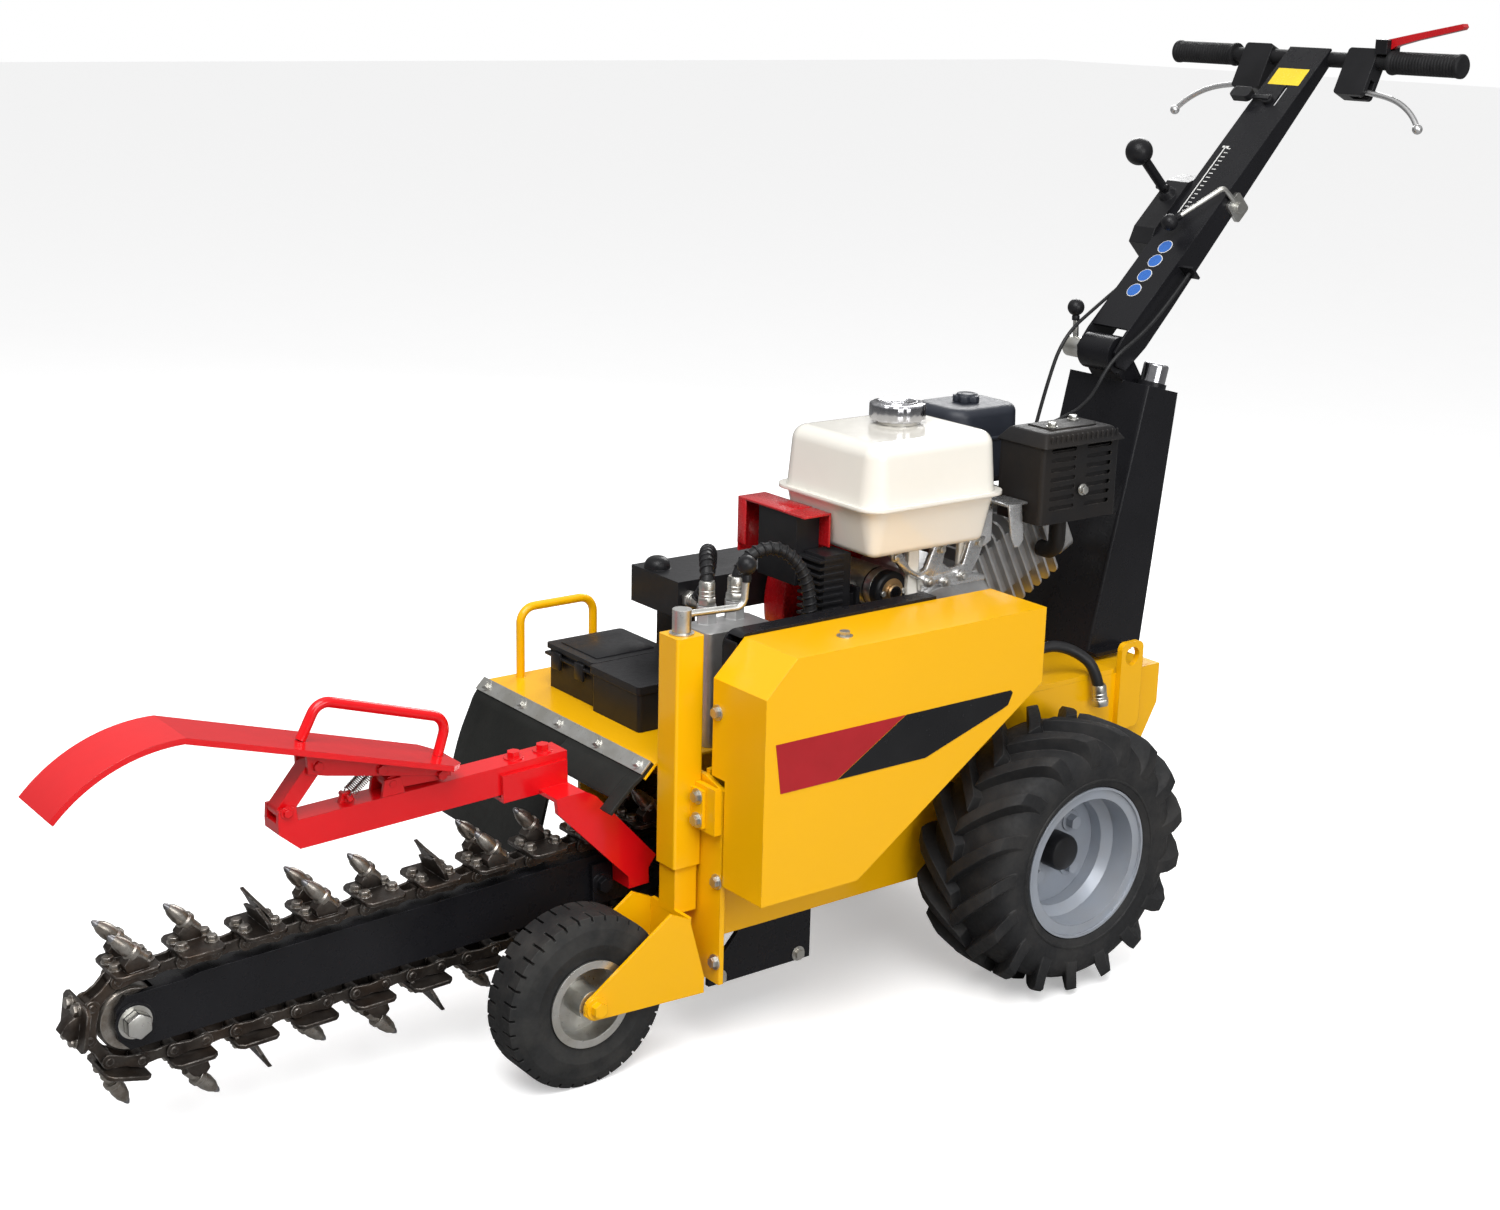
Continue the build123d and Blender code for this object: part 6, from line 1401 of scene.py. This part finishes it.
def build_world():
    world = bpy.data.worlds.new("studio")
    world.use_nodes = True
    tree = world.node_tree
    tree.nodes.clear()
    output = new_node(tree, "ShaderNodeOutputWorld")
    seen = new_node(tree, "ShaderNodeBackground")
    seen.inputs["Color"].default_value = (1, 1, 1, 1)
    seen.inputs["Strength"].default_value = 1.0
    lit = new_node(tree, "ShaderNodeBackground")
    coords = new_node(tree, "ShaderNodeTexCoord").outputs["Generated"]
    split = new_node(tree, "ShaderNodeSeparateXYZ")
    tree.links.new(coords, split.inputs[0])
    share = ranged(tree, split.outputs["Z"], -0.1, 0.9)
    shade = blended(tree, share, (0.10, 0.10, 0.105), (1.0, 1.0, 1.0))
    tree.links.new(shade, lit.inputs["Color"])
    lit.inputs["Strength"].default_value = 0.75
    path = new_node(tree, "ShaderNodeLightPath")
    mix = new_node(tree, "ShaderNodeMixShader")
    tree.links.new(path.outputs["Is Camera Ray"], mix.inputs[0])
    tree.links.new(lit.outputs[0], mix.inputs[1])
    tree.links.new(seen.outputs[0], mix.inputs[2])
    tree.links.new(mix.outputs[0], output.inputs[0])
    bpy.context.scene.world = world


def build_floor():
    """Pale paper that stays bright to the camera and dim to the object above it."""
    deselect()
    bpy.ops.mesh.primitive_plane_add(size=60.0, location=(0, 0, -0.0005))
    floor = active_named("floor")
    paper = finish(
        "floor_paper", (0.93, 0.93, 0.93), (0.92, 0.92, 0.92), (0.7, 0.8), grain=40.0,
        grain_depth=0.00005, soft_edge=0.0, specular=0.1)
    tree = paper.node_tree
    shader = tree.nodes["Principled BSDF"]
    shader.inputs["Emission Color"].default_value = (1, 1, 1, 1)
    path = new_node(tree, "ShaderNodeLightPath")
    glow = ranged(tree, path.outputs["Is Camera Ray"], 0.0, 1.0, 0.0, 0.36)
    tree.links.new(glow, shader.inputs["Emission Strength"])
    pale = shader.inputs["Base Color"].links[0].from_socket
    seen = blended(tree, path.outputs["Is Camera Ray"], (0.30, 0.30, 0.30), pale)
    tree.links.new(seen, shader.inputs["Base Color"])
    floor.data.materials.append(paper)


def build_stage():
    stage = bpy.context.scene.trencher_stage
    data = bpy.data.cameras.new("camera")
    data.lens = stage.lens
    data.sensor_width = 36.0
    camera = bpy.data.objects.new("camera", data)
    bpy.context.scene.collection.objects.link(camera)
    camera.matrix_world = camera_matrix(stage)
    bpy.context.scene.camera = camera
    bpy.context.scene.view_settings.view_transform = "Standard"
    build_world()
    build_floor()
    area_light("key", (1.6, 1.6, 3.6), (0, 0, 0.4), (2.6, 2.6), stage.key_power)
    area_light("fill", (0.2, 3.8, 1.6), (0, 0, 0.5), (2.4, 1.8), stage.fill_power)
    area_light("rim", (-2.6, -1.8, 2.4), (0, 0, 0.6), (1.6, 1.6), stage.key_power * 0.4)


def build_finishes():
    for group in (paint_finishes(), metal_finishes(), soft_finishes()):
        finishes.update(group)
    for finish_name, nodes in FINISH_OF_NODE.items():
        for node in nodes:
            carried = frame["nodes"][node]
            carried.data.materials.clear()
            carried.data.materials.append(finishes[finish_name])


class TRENCHER_OT_stage(bpy.types.Operator):
    """Camera, soft lights and floor"""

    bl_idname = "trencher.stage"
    bl_label = "Stage"

    def execute(self, context):
        build_stage()
        return {"FINISHED"}


class TRENCHER_OT_finishes(bpy.types.Operator):
    """Paint, metal and rubber on the frame"""

    bl_idname = "trencher.finishes"
    bl_label = "Finishes"

    def execute(self, context):
        build_finishes()
        return {"FINISHED"}


class TRENCHER_OT_chain(bpy.types.Operator):
    """Side plates, pins and rollers"""

    bl_idname = "trencher.chain"
    bl_label = "Digging chain"

    def execute(self, context):
        build_chain()
        return {"FINISHED"}


class TRENCHER_OT_teeth(bpy.types.Operator):
    """Cutter plates, bullets and scrapers"""

    bl_idname = "trencher.teeth"
    bl_label = "Teeth"

    def execute(self, context):
        build_teeth()
        return {"FINISHED"}


class TRENCHER_OT_springs(bpy.types.Operator):
    """Coil springs of the crumber"""

    bl_idname = "trencher.springs"
    bl_label = "Springs"

    def execute(self, context):
        build_springs()
        return {"FINISHED"}


class TRENCHER_OT_hoses(bpy.types.Operator):
    """Hydraulic hoses with their fittings"""

    bl_idname = "trencher.hoses"
    bl_label = "Hoses"

    def execute(self, context):
        build_hoses()
        return {"FINISHED"}


class TRENCHER_OT_cables(bpy.types.Operator):
    """Control cables from the handle"""

    bl_idname = "trencher.cables"
    bl_label = "Cables"

    def execute(self, context):
        build_cables()
        return {"FINISHED"}


class TRENCHER_OT_flap(bpy.types.Operator):
    """Flap over the chain"""

    bl_idname = "trencher.flap"
    bl_label = "Rubber flap"

    def execute(self, context):
        build_flap()
        return {"FINISHED"}


class TRENCHER_OT_tyres(bpy.types.Operator):
    """Tyres with curved lugs"""

    bl_idname = "trencher.tyres"
    bl_label = "Drive tyres"

    def execute(self, context):
        build_tyres()
        return {"FINISHED"}


class TRENCHER_OT_hubs(bpy.types.Operator):
    """Black hub covers"""

    bl_idname = "trencher.hubs"
    bl_label = "Hubs"

    def execute(self, context):
        build_hubs()
        return {"FINISHED"}


class TRENCHER_OT_boxes(bpy.types.Operator):
    """Trim of the battery box"""

    bl_idname = "trencher.boxes"
    bl_label = "Boxes"

    def execute(self, context):
        build_boxes()
        return {"FINISHED"}


class TRENCHER_OT_caps(bpy.types.Operator):
    """Fluted fuel cap"""

    bl_idname = "trencher.caps"
    bl_label = "Caps"

    def execute(self, context):
        build_caps()
        return {"FINISHED"}


class TRENCHER_OT_starter(bpy.types.Operator):
    """Starter motor with its end bell"""

    bl_idname = "trencher.starter"
    bl_label = "Starter"

    def execute(self, context):
        build_starter()
        return {"FINISHED"}


class TRENCHER_OT_bracket(bpy.types.Operator):
    """Cast bracket, bolts and strap"""

    bl_idname = "trencher.bracket"
    bl_label = "Tank bracket"

    def execute(self, context):
        build_tank_bracket()
        return {"FINISHED"}


class TRENCHER_OT_muffler(bpy.types.Operator):
    """Lid, ribs and screws"""

    bl_idname = "trencher.muffler"
    bl_label = "Exhaust guard lid"

    def execute(self, context):
        build_muffler_lid()
        return {"FINISHED"}


class TRENCHER_OT_filter(bpy.types.Operator):
    """Rim and wing knob"""

    bl_idname = "trencher.filter"
    bl_label = "Air filter trim"

    def execute(self, context):
        build_filter_knob()
        return {"FINISHED"}


class TRENCHER_OT_hood(bpy.types.Operator):
    """Walls of the red hood"""

    bl_idname = "trencher.hood"
    bl_label = "Hood"

    def execute(self, context):
        build_hood()
        return {"FINISHED"}


class TRENCHER_OT_knobs(bpy.types.Operator):
    """Ball knobs of the levers"""

    bl_idname = "trencher.knobs"
    bl_label = "Knobs"

    def execute(self, context):
        build_knobs()
        return {"FINISHED"}


class TRENCHER_OT_grips(bpy.types.Operator):
    """Ribbed grip sleeves"""

    bl_idname = "trencher.grips"
    bl_label = "Grips"

    def execute(self, context):
        build_grips()
        return {"FINISHED"}


class TRENCHER_OT_plates(bpy.types.Operator):
    """Band, discs and scale without text"""

    bl_idname = "trencher.plates"
    bl_label = "Blank plates"

    def execute(self, context):
        build_plates()
        return {"FINISHED"}


class TRENCHER_OT_bolts(bpy.types.Operator):
    """Bright axle heads"""

    bl_idname = "trencher.bolts"
    bl_label = "Bar bolts"

    def execute(self, context):
        build_bar_bolts()
        return {"FINISHED"}


OPERATORS = (
    TRENCHER_OT_stage, TRENCHER_OT_finishes, TRENCHER_OT_chain, TRENCHER_OT_teeth,
    TRENCHER_OT_springs, TRENCHER_OT_hoses, TRENCHER_OT_cables, TRENCHER_OT_flap,
    TRENCHER_OT_tyres, TRENCHER_OT_hubs, TRENCHER_OT_boxes, TRENCHER_OT_caps, TRENCHER_OT_starter,
    TRENCHER_OT_bracket, TRENCHER_OT_muffler, TRENCHER_OT_filter, TRENCHER_OT_hood,
    TRENCHER_OT_knobs, TRENCHER_OT_grips, TRENCHER_OT_plates, TRENCHER_OT_bolts,
)


class TRENCHER_PT_panel(bpy.types.Panel):
    """Lists the building steps."""

    bl_label = "Trencher"
    bl_idname = "TRENCHER_PT_panel"
    bl_space_type = "VIEW_3D"
    bl_region_type = "UI"
    bl_category = "Trencher"

    def draw(self, context):
        for operator in OPERATORS:
            self.layout.operator(operator.bl_idname)


GROUPS = (("trencher_stage", TrencherStage), ("trencher_colours", TrencherColours),
          ("trencher_sizes", TrencherSizes))


def register():
    for name, group in GROUPS:
        bpy.utils.register_class(group)
        setattr(bpy.types.Scene, name, bpy.props.PointerProperty(type=group))
    for operator in OPERATORS:
        bpy.utils.register_class(operator)
    bpy.utils.register_class(TRENCHER_PT_panel)


def unregister():
    bpy.utils.unregister_class(TRENCHER_PT_panel)
    for operator in reversed(OPERATORS):
        bpy.utils.unregister_class(operator)
    for name, group in reversed(GROUPS):
        delattr(bpy.types.Scene, name)
        bpy.utils.unregister_class(group)


def main():
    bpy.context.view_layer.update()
    register()
    for operator in OPERATORS:
        step = operator.bl_idname.split(".")[1]
        getattr(bpy.ops.trencher, step)()


if __name__ == "__main__":
    main()
